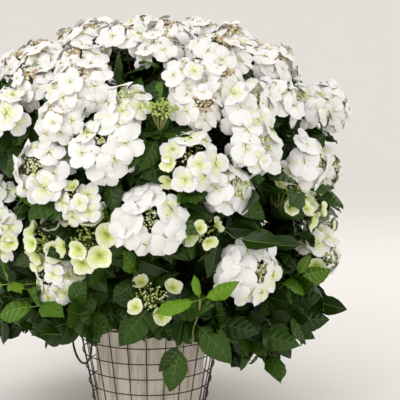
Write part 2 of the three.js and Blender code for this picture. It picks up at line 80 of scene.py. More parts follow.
def unit(vector: Array) -> Array:
    """Gives a vector the length of one."""
    return vector / norm(vector)


def polar(radius: float, angle: float, z: float) -> Array:
    """Gives the point at a radius, an angle round +Z from +X and a height."""
    return np.array([radius * cos(angle), radius * sin(angle), z])


def lerp(start: float | Array, end: float | Array, share: float) -> float | Array:
    """Gives the number or the point that lies a share of the way from start to end."""
    return start + (end - start) * share


def upright_frame(axis: Array) -> Array:
    """Finds a right-handed frame with its third row along an axis.

    Args:
        axis: A unit vector.

    Returns:
        Three rows: level, rising and axis.
    """
    level = np.cross(UP, axis)
    if norm(level) < 1e-3:
        level = np.array([1.0, 0.0, 0.0])
    level = unit(level)
    return np.array([level, np.cross(axis, level), axis])


def turn_matrix(angle: float) -> Array:
    """Gives the matrix that turns rows of points round Z."""
    c, s = cos(angle), sin(angle)
    return np.array([[c, s, 0.0], [-s, c, 0.0], [0.0, 0.0, 1.0]])


class Stream:
    """A seeded stream of numbers from 0 to 1, the same one that the solids grow from."""

    MASK = 0xFFFFFFFF

    def __init__(self, seed: int) -> None:
        """Starts the stream at a seed."""
        self.state = seed & self.MASK

    def draw(self) -> float:
        """Gives the next number of the stream."""
        self.state = (self.state + 0x6D2B79F5) & self.MASK
        t = self.state
        t = ((t ^ (t >> 15)) * (t | 1)) & self.MASK
        t ^= (t + ((t ^ (t >> 7)) * (t | 61))) & self.MASK
        return (t ^ (t >> 14)) / 4294967296

    def about(self, middle: float, spread: float) -> float:
        """Gives a number within half the spread of the middle."""
        return middle + spread * (self.draw() - 0.5)


class Seed(IntEnum):
    """Where each stream of numbers starts. The crown's own seed is one of its sizes."""

    RIM = 11
    FOOT = 12
    WELD = 15
    HOOP = 20
    FLORET = 31
    UPRIGHT = 40
    CUPPED = 61
    LEAF_SHAPE = 77
    CHIP = 321
    CANE = 500
    LATERAL = 700
    HEAD = 4242
    SHADE = 5200
    SIDE_LEAF = 8080
    TINT = 9000


# Finishes


def fill(node: bpy.types.Node, values: dict[str, object]) -> None:
    """Sets some of a node's inputs."""
    for name, value in values.items():
        node.inputs[name].default_value = value


class Bench:
    """Wires up the nodes of one material."""

    def __init__(self, name: str) -> None:
        """Starts a material that has a principled shader and an output."""
        self.material = bpy.data.materials.new(name)
        self.material.use_nodes = True
        self.tree = self.material.node_tree
        self.shader = self.tree.nodes["Principled BSDF"]
        self.place = self.add("ShaderNodeTexCoord").outputs["Object"]

    def add(self, kind: str, **settings: object) -> bpy.types.Node:
        """Adds a node and gives it its settings."""
        node = self.tree.nodes.new(kind)
        for name, value in settings.items():
            setattr(node, name, value)
        return node

    def wire(self, source: Socket, target: Socket) -> None:
        """Links one socket to another."""
        self.tree.links.new(source, target)

    def noise(
        self, scale: float, detail: float = 4.0, stretch: Scales = (1, 1, 1), roughness: float = 0.55
    ) -> Socket:
        """Adds a noise pattern on object coordinates.

        Args:
            scale: Grains in a metre.
            detail: Octaves.
            stretch: Factors on X, Y and Z. A small one draws the grain out.
            roughness: Weight of the finer octaves.

        Returns:
            The pattern's socket, from 0 to 1.
        """
        mapping = self.add("ShaderNodeMapping")
        fill(mapping, {"Scale": stretch})
        self.wire(self.place, mapping.inputs["Vector"])
        noise = self.add("ShaderNodeTexNoise")
        fill(noise, {"Scale": scale, "Detail": detail, "Roughness": roughness})
        self.wire(mapping.outputs["Vector"], noise.inputs["Vector"])
        return noise.outputs["Fac"]

    def ramp(self, source: Socket, stops: Sequence[tuple[float, Colour]]) -> Socket:
        """Turns a pattern into colours.

        Args:
            source: The pattern.
            stops: Places from 0 to 1, each with its linear colour.

        Returns:
            The colour's socket.
        """
        ramp = self.add("ShaderNodeValToRGB")
        elements = ramp.color_ramp.elements
        while len(elements) < len(stops):
            elements.new(0.5)
        for element, (position, colour) in zip(elements, stops):
            element.position = position
            element.color = (*colour, 1.0)
        self.wire(source, ramp.inputs["Fac"])
        return ramp.outputs["Color"]

    def spread(self, source: Socket, low: float, high: float) -> Socket:
        """Maps a pattern from 0 to 1 onto another range."""
        node = self.add("ShaderNodeMapRange")
        fill(node, {"To Min": low, "To Max": high})
        self.wire(source, node.inputs["Value"])
        return node.outputs["Result"]

    def product(self, first: Socket, second: Socket, share: float) -> Socket:
        """Multiplies one colour by a share of another."""
        node = self.add("ShaderNodeMix", data_type="RGBA", blend_type="MULTIPLY")
        node.inputs[0].default_value = share
        self.wire(first, node.inputs[6])
        self.wire(second, node.inputs[7])
        return node.outputs[2]

    def bump(self, source: Socket, distance: float) -> None:
        """Lets a pattern roughen the surface by a distance in metres."""
        node = self.add("ShaderNodeBump")
        fill(node, {"Distance": distance})
        self.wire(source, node.inputs["Height"])
        self.wire(node.outputs["Normal"], self.shader.inputs["Normal"])


@dataclass(frozen=True)
class Finish:
    """A finish: a plain colour that noise roughens."""

    name: str
    colour: Colour
    roughness: float
    grain: float = 400.0
    relief: float = 0.0002
    metallic: float = 0.0
    gloss: float = 0.5

    def dress(self, bench: Bench) -> None:
        """Sets the shader's own values and adds the relief."""
        fill(bench.shader, {"Base Color": (*self.colour, 1.0), "Roughness": self.roughness})
        fill(bench.shader, {"Metallic": self.metallic, "Specular IOR Level": self.gloss})
        bench.bump(bench.noise(self.grain), self.relief)

    def material(self) -> bpy.types.Material:
        """Makes the material, or finds it when it is already made."""
        made = bpy.data.materials.get(self.name)
        if made:
            return made
        bench = Bench(self.name)
        self.dress(bench)
        return bench.material


@dataclass(frozen=True)
class LimewashFinish(Finish):
    """Old grey ware under a rubbed coat of limewash, streaked from the rim down."""

    lime: Colour = (0.86, 0.785, 0.70)
    stain: Colour = (0.29, 0.24, 0.18)
    blotch: Colour = (0.70, 0.67, 0.62)

    def dress(self, bench: Bench) -> None:
        """Adds streaks, blotches and scratches to the plain finish."""
        super().dress(bench)
        streaks = bench.noise(9.0, 8.0, (9.0, 9.0, 0.7), 0.68)
        streaked = bench.ramp(
            streaks,
            [(0.28, self.stain), (0.40, self.colour), (0.54, self.lime), (0.72, self.lime)],
        )
        patches = bench.noise(16.0, 6.0, (1.0, 1.0, 0.6))
        blotches = bench.ramp(patches, [(0.30, self.blotch), (0.56, (1.0, 1.0, 1.0))])
        mottled = bench.product(streaked, blotches, 0.6)
        bench.wire(mottled, bench.shader.inputs["Base Color"])
        bench.wire(bench.spread(streaks, 0.95, 0.72), bench.shader.inputs["Roughness"])
        bench.bump(bench.noise(60.0, 8.0, (3.0, 3.0, 0.3), 0.7), 0.0016)


@dataclass(frozen=True)
class RustyWireFinish(Finish):
    """Dark wire whose paint has gone brown with weather."""

    rust: Colour = (0.13, 0.07, 0.042)

    def dress(self, bench: Bench) -> None:
        """Adds patches of rust to the plain finish."""
        super().dress(bench)
        patches = bench.noise(70.0, 5.0)
        colour = bench.ramp(patches, [(0.42, self.colour), (0.62, self.rust)])
        bench.wire(colour, bench.shader.inputs["Base Color"])
        bench.wire(bench.spread(patches, 0.42, 0.8), bench.shader.inputs["Roughness"])


@dataclass(frozen=True)
class BarkFinish(Finish):
    """Ribbed bark that peels in pale strips."""

    pale: Colour = (0.34, 0.25, 0.17)

    def dress(self, bench: Bench) -> None:
        """Adds strips and ribs to the plain finish."""
        super().dress(bench)
        strips = bench.noise(120.0, 6.0, (1.0, 1.0, 0.16), 0.65)
        colour = bench.ramp(strips, [(0.36, self.colour), (0.66, self.pale)])
        bench.wire(colour, bench.shader.inputs["Base Color"])
        bench.bump(strips, 0.0012)


@dataclass(frozen=True)
class SoilFinish(Finish):
    """Damp potting soil with crumbs of bark in it."""

    crumb: Colour = (0.085, 0.05, 0.028)

    def dress(self, bench: Bench) -> None:
        """Adds crumbs to the plain finish."""
        super().dress(bench)
        crumbs = bench.noise(210.0, 8.0, roughness=0.75)
        colour = bench.ramp(crumbs, [(0.38, self.colour), (0.68, self.crumb)])
        bench.wire(colour, bench.shader.inputs["Base Color"])
        bench.bump(crumbs, 0.003)


@dataclass(frozen=True)
class LeafFinish(Finish):
    """A leaf's waxy blade."""

    grain: float = 300.0
    relief: float = 0.0006
    gloss: float = 0.21


@dataclass(frozen=True)
class VeinFinish(Finish):
    """A leaf's midrib and side veins."""

    roughness: float = 0.48
    gloss: float = 0.3


@dataclass(frozen=True)
class PetalFinish(Finish):
    """A petal that lets some of the light in, down to a depth in metres."""

    roughness: float = 0.6
    grain: float = 500.0
    gloss: float = 0.2
    glow: float = 0.5
    depth: float = 0.003

    def dress(self, bench: Bench) -> None:
        """Lets the light into the plain finish."""
        super().dress(bench)
        bench.shader.subsurface_method = "BURLEY"
        fill(bench.shader, {"Subsurface Weight": self.glow, "Subsurface Scale": self.depth})
        fill(bench.shader, {"Subsurface Radius": (1.0, 1.0, 1.0)})


class Paint(Enum):
    """Every finish on the plant and its planter, and on the floor round it."""

    POT = LimewashFinish("limewashed_ware", (0.61, 0.53, 0.445), 0.85)
    SOIL = SoilFinish("damp_soil", (0.022, 0.014, 0.009), 0.95)
    CHIP = Finish("bark_chip", (0.07, 0.038, 0.02), 0.9, 160.0, 0.001)
    WIRE = RustyWireFinish("weathered_wire", (0.050, 0.040, 0.034), 0.5, 260.0, 0.0003, 0.45)
    BARK = BarkFinish("cane_bark", (0.13, 0.08, 0.045), 0.85)
    TWIG_GREEN = Finish("green_twig", (0.25, 0.24, 0.065), 0.5)
    TWIG_RED = Finish("red_twig", (0.20, 0.085, 0.038), 0.45)
    STALK = Finish("flower_stalk", (0.36, 0.34, 0.10), 0.55)
    LEAF_DEEP = LeafFinish("leaf_deep", (0.019, 0.045, 0.005), 0.23, gloss=0.22)
    LEAF_MID = LeafFinish("leaf_mid", (0.032, 0.080, 0.006), 0.25)
    LEAF_LIGHT = LeafFinish("leaf_light", (0.068, 0.160, 0.008), 0.30)
    LEAF_YOUNG = LeafFinish("leaf_young", (0.120, 0.265, 0.006), 0.38, relief=0.0005, gloss=0.25)
    VEIN_DEEP = VeinFinish("deep_side_vein", (0.072, 0.125, 0.024))
    VEIN_LIGHT = VeinFinish("light_side_vein", (0.20, 0.31, 0.035))
    RIB_DEEP = VeinFinish("deep_midrib", (0.17, 0.25, 0.07))
    RIB_LIGHT = VeinFinish("light_midrib", (0.30, 0.42, 0.09))
    PETAL_WHITE = PetalFinish("petal_white", (0.865, 0.857, 0.845))
    PETAL_BLUSH = PetalFinish("petal_blush", (0.88, 0.853, 0.838))
    PETAL_CREAM = PetalFinish("petal_cream", (0.82, 0.85, 0.62))
    PETAL_PALE = PetalFinish("petal_pale", (0.75, 0.80, 0.36))
    PETAL_LIME = PetalFinish("petal_lime", (0.61, 0.70, 0.19))
    PETAL_GREEN = PetalFinish("petal_green", (0.48, 0.56, 0.11))
    BUD_GREEN = Finish("bud_green", (0.42, 0.52, 0.12), 0.5)
    BUD_CREAM = Finish("bud_cream", (0.80, 0.81, 0.56), 0.5)
    BUD_TAN = Finish("bud_tan", (0.62, 0.48, 0.32), 0.6)
    FLOOR = Finish("pale_floor", (0.92, 0.90, 0.865), 0.85, 6.0, 0.0004)


# Pieces


@dataclass(frozen=True)
class Pattern:
    """A small shape that is modelled once and copied many times."""

    points: Array
    corners: Array
    counts: Array

    @classmethod
    def lifted(cls, obj: Piece) -> Pattern:
        """Reads the shape of a modelled object, and removes the object."""
        data = obj.data
        points = np.empty(len(data.vertices) * 3)
        data.vertices.foreach_get("co", points)
        corners = np.empty(len(data.loops), dtype=np.int64)
        data.loops.foreach_get("vertex_index", corners)
        counts = np.empty(len(data.polygons), dtype=np.int64)
        data.polygons.foreach_get("loop_total", counts)
        bpy.data.objects.remove(obj)
        bpy.data.meshes.remove(data)
        return cls(points.reshape(-1, 3), corners, counts)

    @classmethod
    def pebble(cls, fineness: int, squeeze: Callable[[Vector], Sequence[float]]) -> Pattern:
        """Models a ball with a radius of one and squeezes it.

        Args:
            fineness: Subdivisions of the ball.
            squeeze: Gives the factors on X, Y and Z at a place on the ball.

        Returns:
            The shape.
        """
        deselect()
        bpy.ops.mesh.primitive_ico_sphere_add(subdivisions=fineness, radius=1.0)
        ball = bpy.context.object
        for vertex in ball.data.vertices:
            vertex.co = [value * factor for value, factor in zip(vertex.co, squeeze(vertex.co))]
        return cls.lifted(ball)

    @classmethod
    def joined(cls, patterns: Iterable[Pattern]) -> Pattern:
        """Puts several shapes together as one."""
        bundle = Bundle()
        for pattern in patterns:
            bundle.add(pattern)
        return bundle.pattern()

    def turned(self, angle: float, lift: float = 0.0) -> Pattern:
        """Gives a copy that is turned round Z and lifted."""
        points = self.points @ turn_matrix(angle) + [0.0, 0.0, lift]
        return Pattern(points, self.corners, self.counts)


class Bundle:
    """Copies of shapes that become one piece."""

    def __init__(self) -> None:
        """Starts an empty bundle."""
        self.points: list[Array] = []
        self.corners: list[Array] = []
        self.counts: list[Array] = []
        self.size = 0

    def add(self, pattern: Pattern, frame: Array | None = None, origin: Array | None = None) -> None:
        """Adds a copy of a shape.

        Args:
            pattern: The shape.
            frame: Three rows that the shape's X, Y and Z become, with their scale.
            origin: Where the shape's origin goes.
        """
        points = pattern.points
        if frame is not None:
            points = points @ frame
        if origin is not None:
            points = points + origin
        self.points.append(points)
        self.corners.append(pattern.corners + self.size)
        self.counts.append(pattern.counts)
        self.size += len(points)

    def pattern(self) -> Pattern:
        """Gives the whole bundle as one shape."""
        return Pattern(np.vstack(self.points), np.concatenate(self.corners), np.concatenate(self.counts))

    def piece(self, name: str) -> Piece:
        """Makes the bundle one smooth mesh object, in metres, from points in millimetres."""
        whole = self.pattern()
        data = bpy.data.meshes.new(name)
        data.vertices.add(len(whole.points))
        data.vertices.foreach_set("co", (whole.points * MM).ravel())
        data.loops.add(len(whole.corners))
        data.loops.foreach_set("vertex_index", whole.corners.astype(np.int32))
        data.polygons.add(len(whole.counts))
        starts = np.concatenate([[0], np.cumsum(whole.counts)[:-1]])
        data.polygons.foreach_set("loop_start", starts.astype(np.int32))
        data.polygons.foreach_set("use_smooth", np.ones(len(whole.counts), dtype=bool))
        data.update(calc_edges=True)
        data.validate()
        return put(name, data)


def put(name: str, data: bpy.types.ID) -> Piece:
    """Puts a mesh, light or camera into the scene."""
    obj = bpy.data.objects.new(name, data)
    bpy.context.scene.collection.objects.link(obj)
    return obj


def deselect() -> None:
    """Leaves nothing selected."""
    for obj in bpy.context.selected_objects:
        obj.select_set(False)


def hold(obj: Piece) -> None:
    """Selects an object alone and makes it the active one."""
    deselect()
    obj.select_set(True)
    bpy.context.view_layer.objects.active = obj


def edit(obj: Piece, *steps: Callable[[], object]) -> None:
    """Runs mesh operators on all of an object in edit mode."""
    hold(obj)
    bpy.ops.object.mode_set(mode="EDIT")
    bpy.ops.mesh.select_all(action="SELECT")
    for step in steps:
        step()
    bpy.ops.object.mode_set(mode="OBJECT")


def roughen(
    obj: Piece, name: str, grain: float, octaves: int, height: float, level: float
) -> bpy.types.Modifier:
    """Adds a modifier that roughens an object with clouds of noise.

    Args:
        obj: The object.
        name: The name of the noise.
        grain: The noise's size in metres.
        octaves: How many finer layers it has.
        height: How far it moves the surface, in metres.
        level: The noise's value that moves nothing.

    Returns:
        The modifier.
    """
    texture = bpy.data.textures.new(name, "CLOUDS")
    texture.noise_scale = grain
    texture.noise_depth = octaves
    displace = obj.modifiers.new(name, "DISPLACE")
    displace.texture = texture
    displace.strength = height
    displace.mid_level = level
    return displace


def finish_modifiers(obj: Piece, sharpest: float) -> None:
    """Applies all of an object's modifiers, and smooths the edges up to an angle in degrees."""
    hold(obj)
    for name in [modifier.name for modifier in obj.modifiers]:
        bpy.ops.object.modifier_apply(modifier=name)
    hold(obj)
    bpy.ops.object.shade_smooth_by_angle(angle=radians(sharpest))


def place_piece(obj: Piece, paint: Paint, body: str, slot: str, nodes: Sequence[str]) -> None:
    """Dresses a piece, and lets it ride on a body and stand for nodes.

    Args:
        obj: The piece.
        paint: Its finish.
        body: The body that it rides on.
        slot: Not used.
        nodes: The nodes that it stands for, none for a piece that is added to another.
    """
    obj.data.materials.clear()
    obj.data.materials.append(paint.value.material())
    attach(obj, body)
    if nodes:
        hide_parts(*nodes)
    log.info("%s: %d faces", obj.name, len(obj.data.polygons))


def grid(across: int, along: int, place: Callable[[float, float], Sequence[float]]) -> Pattern:
    """Models a sheet from a grid.

    Args:
        across: Faces across.
        along: Faces along.
        place: Gives the point for a share across and a share along.

    Returns:
        The sheet, with its points merged where they meet.
    """
    deselect()
    bpy.ops.mesh.primitive_grid_add(x_subdivisions=across, y_subdivisions=along, size=1.0)
    obj = bpy.context.object
    for vertex in obj.data.vertices:
        vertex.co = place(vertex.co.x + 0.5, vertex.co.y + 0.5)
    edit(obj, lambda: bpy.ops.mesh.remove_doubles(threshold=1e-5))
    return Pattern.lifted(obj)


def sweep(points: Array, radii: Array, sides: int) -> Pattern:
    """Models a limb along a line of points, closed at both ends.

    Args:
        points: The line's points, one in a row.
        radii: A radius for each point, or a row of radii with one for each side.
        sides: Sides of the limb.

    Returns:
        The limb's shape.
    """
    count = len(points)
    tangents = np.gradient(points, axis=0)
    tangents /= norm(tangents, axis=1)[:, None]
    normal = upright_frame(tangents[0])[0]
    angles = 2 * pi * np.arange(sides) / sides
    around = np.stack([np.cos(angles), np.sin(angles)], axis=1)
    spread = np.broadcast_to(radii if radii.ndim == 2 else radii[:, None], (count, sides))
    rings = []
    for i in range(count):
        normal = unit(normal - tangents[i] * (normal @ tangents[i]))
        side = np.cross(tangents[i], normal)
        ring = around @ np.array([normal, side])
        rings.append(points[i] + ring * spread[i][:, None])
    lower = (np.arange(count - 1)[:, None] * sides + np.arange(sides)).ravel()
    after = (np.arange(count - 1)[:, None] * sides + (np.arange(sides) + 1) % sides).ravel()
    quads = np.stack([lower, after, after + sides, lower + sides], axis=1)
    caps = np.concatenate([np.arange(sides)[::-1], (count - 1) * sides + np.arange(sides)])
    corners = np.concatenate([quads.ravel(), caps])
    counts = np.concatenate([np.full(len(quads), 4), [sides, sides]])
    return Pattern(np.vstack(rings), corners, counts)


# The crown's rule, which the solids follow too


@dataclass(frozen=True)
class Bezier:
    """A cubic curve through its first and last corners."""

    corners: Array

    @classmethod
    def between(cls, *corners: Array) -> Bezier:
        """Makes a curve from its four corners."""
        return cls(np.array(corners))

    def branch(self, share: float, end: Array, arrival: Array) -> Bezier:
        """Makes a curve that leaves this one smoothly.

        Args:
            share: Where it leaves, as a share of the length.
            end: Where it ends.
            arrival: The way that it points there.

        Returns:
            The curve.
        """
        root, along = self.stand(share)
        away = end - root
        start = unit(unit(away) + along)
        pull = 0.34 * float(norm(away))
        return Bezier.between(root, root + start * pull, end - arrival * pull, end)

    def spaced(self, shares: Sequence[float]) -> Array:
        """Gives the points at some shares of the curve's length."""
        t = np.linspace(0, 1, 201)
        line = self.at(t)
        lengths = np.concatenate([[0], np.cumsum(norm(np.diff(line, axis=0), axis=1))])
        return self.at(np.interp(np.asarray(shares) * lengths[-1], lengths, t))

    def at(self, t: Array) -> Array:
        """Gives the points at some values of the curve's parameter."""
        t = t[:, None]
        a, b, c, d = self.corners
        return (1 - t) ** 3 * a + 3 * (1 - t) ** 2 * t * b + 3 * (1 - t) * t**2 * c + t**3 * d

    def stand(self, share: float) -> tuple[Array, Array]:
        """Gives the place at a share of the length, and the way that the curve runs there."""
        before, here, after = self.spaced([max(share - 0.02, 0), share, min(share + 0.02, 1)])
        return here, unit(after - before)


class HeadKind(Enum):
    """How far a flower head has come."""

    OPEN = "open"
    FRESH = "fresh"
    YOUNG = "young"
    BUD = "bud"
    TIGHT = "tight"
    AGED = "aged"


@dataclass
class Tip:
    """The end of a twig: a flower head's middle, or the end of a leafy shoot."""

    angle: float
    z: float
    facing: Array
    position: Array
    direction: Array
    radius: float
    leafy: bool
    kind: HeadKind | None = None
    mass: int = -1
    twig: Bezier | None = None

    def arrival(self) -> Array:
        """Gives the way that the twig points at its end."""
        return self.direction if self.leafy else self.facing


@dataclass(frozen=True)
class Tier:
    """A level of masses: how many there are, and how their canes leave the soil."""

    name: str
    count: int
    elevation: float
    turn: float
    foot_ring: float
    reach: float


@dataclass
class Mass:
    """A bough's share of the crown, which one cane carries."""

    name: str
    tier: Tier
    angle: float
    direction: Array
    tips: list[Tip] = field(default_factory=list)
    heading: Array = field(default_factory=lambda: np.zeros(3))
    foot: Array = field(default_factory=lambda: np.zeros(3))
    leader: Tip | None = None
    cane: Bezier | None = None


@dataclass(frozen=True)
class HemZone:
    """A stretch where the crown's hem is higher: its middle, its half width, its slopes and its rise."""

    middle: float
    half: float
    slope: float
    rise: float

    def rise_at(self, places: Array) -> Array:
        """Gives how much higher the hem is at some places on the scale that the zone is measured on."""
        return self.rise * np.clip((self.half - np.abs(places - self.middle)) / self.slope, 0, 1)


@dataclass(frozen=True)
class PairRule:
    """How the pairs of leaves on a twig vary.

    The turn and its spread are in radians. The step is the two leaves' distance as a share of the twig.
    A leaf's length is the scale times the least and a random share of the span, in whole leaves.
    """

    spread: float
    step: float
    least: float
    span: float
    turn: float = 0.0
    scale: float = 1.0


@dataclass(frozen=True)
class Leaf:
    """A leaf's place: its root, the ways that it points and faces, its length and its finish."""

    root: Array
    direction: Array
    facing: Array
    length: float
    paint: Paint
    inner: bool = False


@dataclass(frozen=True)
class Twiglet:
    """A finer twig that leaves a main one, and the radii of its two ends."""

    curve: Bezier
    start: float
    end: float
    red: bool = False


Choice = Callable[[float], tuple[Paint, bool]]


@dataclass
class Crown:
    """Where the canes, twigs, flower heads and leaves are."""

    seed: int = 6
    stream_step: int = 101
    core: Array = field(default_factory=lambda: np.array([0.0, 0.0, 330.0]))
    top: float = 852.0
    loft: float = 18.0
    wide: float = 590.0
    wide_radius: float = 395.0
    hem: float = 190.0
    hem_radius: float = 300.0
    roundness: float = 2.3
    front: float = 240.0
    soil_top: float = SOIL_TOP
    gap: float = 0.3
    cane_radius: float = 5.6
    stem: float = 26.0
    head_depth: float = 24.0
    tiers: tuple[Tier, ...] = (
        Tier("top", 1, 90, 0, 0, 0.55),
        Tier("upper", 5, 52, 24, 17, 0.52),
        Tier("middle", 6, 20, 30, 31, 0.5),
        Tier("lower", 8, -10, 22.5, 46, 0.5),
    )
    front_heads: tuple[tuple[float, float, float, float, HeadKind], ...] = (
        (-10, 826, 0, 68, HeadKind.AGED),
        (33, 790, 4, 68, HeadKind.AGED),
        (6, 690, -14, 38, HeadKind.TIGHT),
        (34, 690, 0, 68, HeadKind.OPEN),
        (-9, 612, 6, 68, HeadKind.OPEN),
        (92, 672, 38, 66, HeadKind.AGED),
        (14, 585, 8, 68, HeadKind.FRESH),
        (34, 610, 4, 62, HeadKind.OPEN),
        (3, 476, 18, 72, HeadKind.OPEN),
        (-15, 430, 4, 62, HeadKind.YOUNG),
        (-27, 352, 6, 58, HeadKind.FRESH),
        (2, 352, -22, 46, HeadKind.BUD),
        (34, 368, 20, 72, HeadKind.OPEN),
        (70, 372, 34, 60, HeadKind.FRESH),
    )
    max_tips: int = 240
    head_radius: float = 62.0
    lowest_head: float = 300.0
    heads_apart: tuple[float, float] = (116.0, 156.0)
    thinning: float = 1.5
    shoot_count: int = 18
    shoot_height: float = 232.0
    shoot_rise: float = 34.0
    basket_foot: float = BASKET_FOOT
    basket_rim: float = BASKET_RIM
    basket_height: float = BASKET_HEIGHT
    basket_wire: float = BASKET_WIRE
    planter_gap: float = 12.0
    planter_top: float = 224.0
    handle_half: float = 64.0
    handle_reach: float = 240.8
    handle_foot: float = 122.5
    handle_top: float = 230.5
    hem_low: float = 128.0
    hem_front: HemZone = HemZone(-8.0, 46.0, 10.0, 106.0)
    hem_side: HemZone = HemZone(74.0, 40.0, 10.0, 38.0)
    hem_handle: HemZone = HemZone(0.0, 118.0, 20.0, 106.0)
    hem_handle_from: float = 110.0
    dome_from: float = 40.0
    dome_slack: float = 4.0
    droop_top: float = 560.0
    droop_span: float = 360.0
    leaf_length: float = 130.0
    leaf_half: float = 0.25
    leaf_aside: float = 0.8
    leaf_along: float = 0.5
    leaf_droop: tuple[float, float] = (0.12, 0.5)
    leaf_upturn: float = 0.45
    leaf_stray: float = 10.0
    twig_stray: float = 16.0
    cane_gap: float = 3.0
    deep_below: float = 0.56
    mid_below: float = 0.93
    # Share of a twig below which its leaves take the deep green as painted shade.
    shade_below: float = 0.3
    young_from: float = 0.9
    aged_from: float = 690.0
    open_from: float = 480.0
    room_share: float = 0.8
    leaf_room: float = 0.3
    side_heads: tuple[tuple[float, float, float, HeadKind], ...] = (
        (-66, 782, 56, HeadKind.AGED),
        (-24, 778, 58, HeadKind.AGED),
        (-40, 738, 56, HeadKind.AGED),
        (8, 806, 50, HeadKind.AGED),
        (50, 776, 54, HeadKind.AGED),
        (26, 738, 58, HeadKind.AGED),
        (50, 708, 60, HeadKind.OPEN),
        (66, 716, 54, HeadKind.AGED),
        (-4, 696, 50, HeadKind.OPEN),
        (16, 747, 52, HeadKind.AGED),
        (18, 690, 52, HeadKind.AGED),
        (-24, 664, 52, HeadKind.AGED),
        (-33, 604, 54, HeadKind.OPEN),
        (-21, 556, 50, HeadKind.OPEN),
        (26, 528, 54, HeadKind.OPEN),
        (-17, 500, 46, HeadKind.FRESH),
        (-29, 420, 48, HeadKind.YOUNG),
        (47, 482, 42, HeadKind.BUD),
        (18, 446, 40, HeadKind.YOUNG),
        (-47, 424, 52, HeadKind.FRESH),
        (52, 590, 52, HeadKind.OPEN),
        (72, 610, 52, HeadKind.OPEN),
        (78, 470, 46, HeadKind.FRESH),
    )
    max_side_heads: int = 420
    side_lowest: float = 330.0
    side_thinning: float = 1.3
    side_start: float = 1.1
    side_radius: float = 50.0
    side_apart: tuple[float, float] = (70.0, 122.0)
    front_apart: float = 56.0
    side_fork: float = 0.56
    red_from: float = 560.0
    front_half: float = 62.0
    settled: tuple[tuple[int, float, float, float], ...] = (
        (2, 6.0, 640.0, -2.0),
        (11, 4.0, 296.0, -8.0),
    )
    turned: tuple[float, float] = (60.0, 110.0)
    turned_share: float = 0.5
    sprays: tuple[tuple[float, float, float, Paint], ...] = (
        (-44, 376, 336, Paint.LEAF_YOUNG),
        (-33, 362, 300, Paint.LEAF_LIGHT),
        (56, 372, 338, Paint.LEAF_LIGHT),
        (52, 392, 520, Paint.LEAF_MID),
        (123, 352, 505, Paint.LEAF_MID),
        (117, 340, 425, Paint.LEAF_DEEP),
    )
    main_pairs: PairRule = PairRule(0.5, -0.025, 0.82, 0.3, pi / 4, 0.86)
    between_pairs: PairRule = PairRule(0.7, 0.012, 0.56, 0.26)
    twiglet_pairs: PairRule = PairRule(1.0, -0.02, 0.56, 0.24)
    shade_pairs: PairRule = PairRule(0.8, 0.0, 0.7, 0.25)
    leaf_tries: tuple[tuple[float, float, float], ...] = (
        (0, 1, 1), (0.45, 1, 1), (-0.45, 1, 1), (0, 1, 0.2), (0.5, 0.9, 0.2), (-0.5, 0.9, 0.2),
        (0.9, 0.85, 0.6), (-0.9, 0.85, 0.6), (0, 0.68, 0.4),
    )
    masses: list[Mass] = field(default_factory=list)
    tips: list[Tip] = field(default_factory=list)
    leaves: list[Leaf] = field(default_factory=list)
    side_tips: list[Tip] = field(default_factory=list)
    twiglets: list[Twiglet] = field(default_factory=list)
    cane_points: Array = field(init=False)
    directions: Array = field(init=False)
    owners: Array = field(init=False)
    room_middles: Array = field(init=False)
    room_sizes: Array = field(init=False)

    def grow(self) -> None:
        """Sets out the tips, the masses, their canes and twigs, and then the leaves."""
        self.set_out_tips()
        self.share_out_tips()
        self.settle_heads()
        for mass in self.masses:
            mass.cane = self.cane_curve(mass)
            self.grow_twigs(mass)
        self.cane_points = np.vstack([m.cane.spaced(np.linspace(0, 1, 61)) for m in self.masses])
        self.directions = np.array([tip.direction for tip in self.tips])
        self.owners = np.array([tip.mass for tip in self.tips])
        self.set_out_side_heads()
        self.grow_front_shoot()
        self.keep_rooms()
        for index in range(len(self.masses)):
            self.grow_leaves(index)
            self.grow_laterals(index)
            self.grow_shade_leaves(index)
        self.grow_side_leaves()

    def turn_of(self, angle: float | Array) -> float | Array:
        """Gives the turn from the front of an angle round Z, from -180 to 180 degrees."""
        return (np.degrees(angle) - self.front + 180) % 360 - 180

    def seen_at(self, turn: float, radius: float, z: float) -> Array:
        """Gives the point at a turn from the front in degrees, a radius and a height."""
        return polar(radius, radians(self.front + turn), z)

    def settle_heads(self) -> None:
        """Lets the youngest front heads hang a little lower, and turns those at the right forwards."""
        for number, turn, z, bulge in self.settled:
            tip = self.tips[number]
            lower = self.tip(radians(self.front + turn), z, bulge, tip.radius, False)
            tip.z, tip.facing, tip.position = lower.z, lower.facing, lower.position
        first, last = self.turned
        for tip in self.tips:
            if first < self.turn_of(tip.angle) < last and not tip.leafy:
                tip.facing = unit(tip.facing + self.seen_at(0, self.turned_share, 0))

    def keep_rooms(self) -> None:
        """Notes the rooms that the flower heads and the front leaves keep free of other leaves."""
        middles, sizes = [], []
        for tip in [*self.tips, *self.side_tips]:
            if not tip.leafy:
                seat = HeadSeat.of(tip)
                middles.append(seat.middle + seat.axes[2] * 8)
                sizes.append(self.room_share * tip.radius)
        out = self.seen_at(0, 1, 0)
        for leaf in self.leaves:
            middles.append(leaf.root + leaf.direction * 0.6 * leaf.length + out * 12)
            sizes.append(self.leaf_room * leaf.length)
        self.room_middles = np.array(middles)
        self.room_sizes = np.array(sizes)

    def radius_at(self, z: float) -> float:
        """Gives the crown's radius at a height."""
        if z >= self.wide:
            t = min(1.0, (z - self.wide) / (self.top - self.wide))
            return self.wide_radius * (1 - t**self.roundness) ** (1 / self.roundness)
        t = (self.wide - z) / (self.wide - self.hem)
        return lerp(self.wide_radius, self.hem_radius, t * t)

    def facing_at(self, angle: float, z: float) -> Array:
        """Gives the way that the crown's surface faces."""
        step = 4.0
        high = min(z + step, self.top - 1)
        low = high - 2 * step
        return unit(polar(1, angle, (self.radius_at(low) - self.radius_at(high)) / (high - low)))

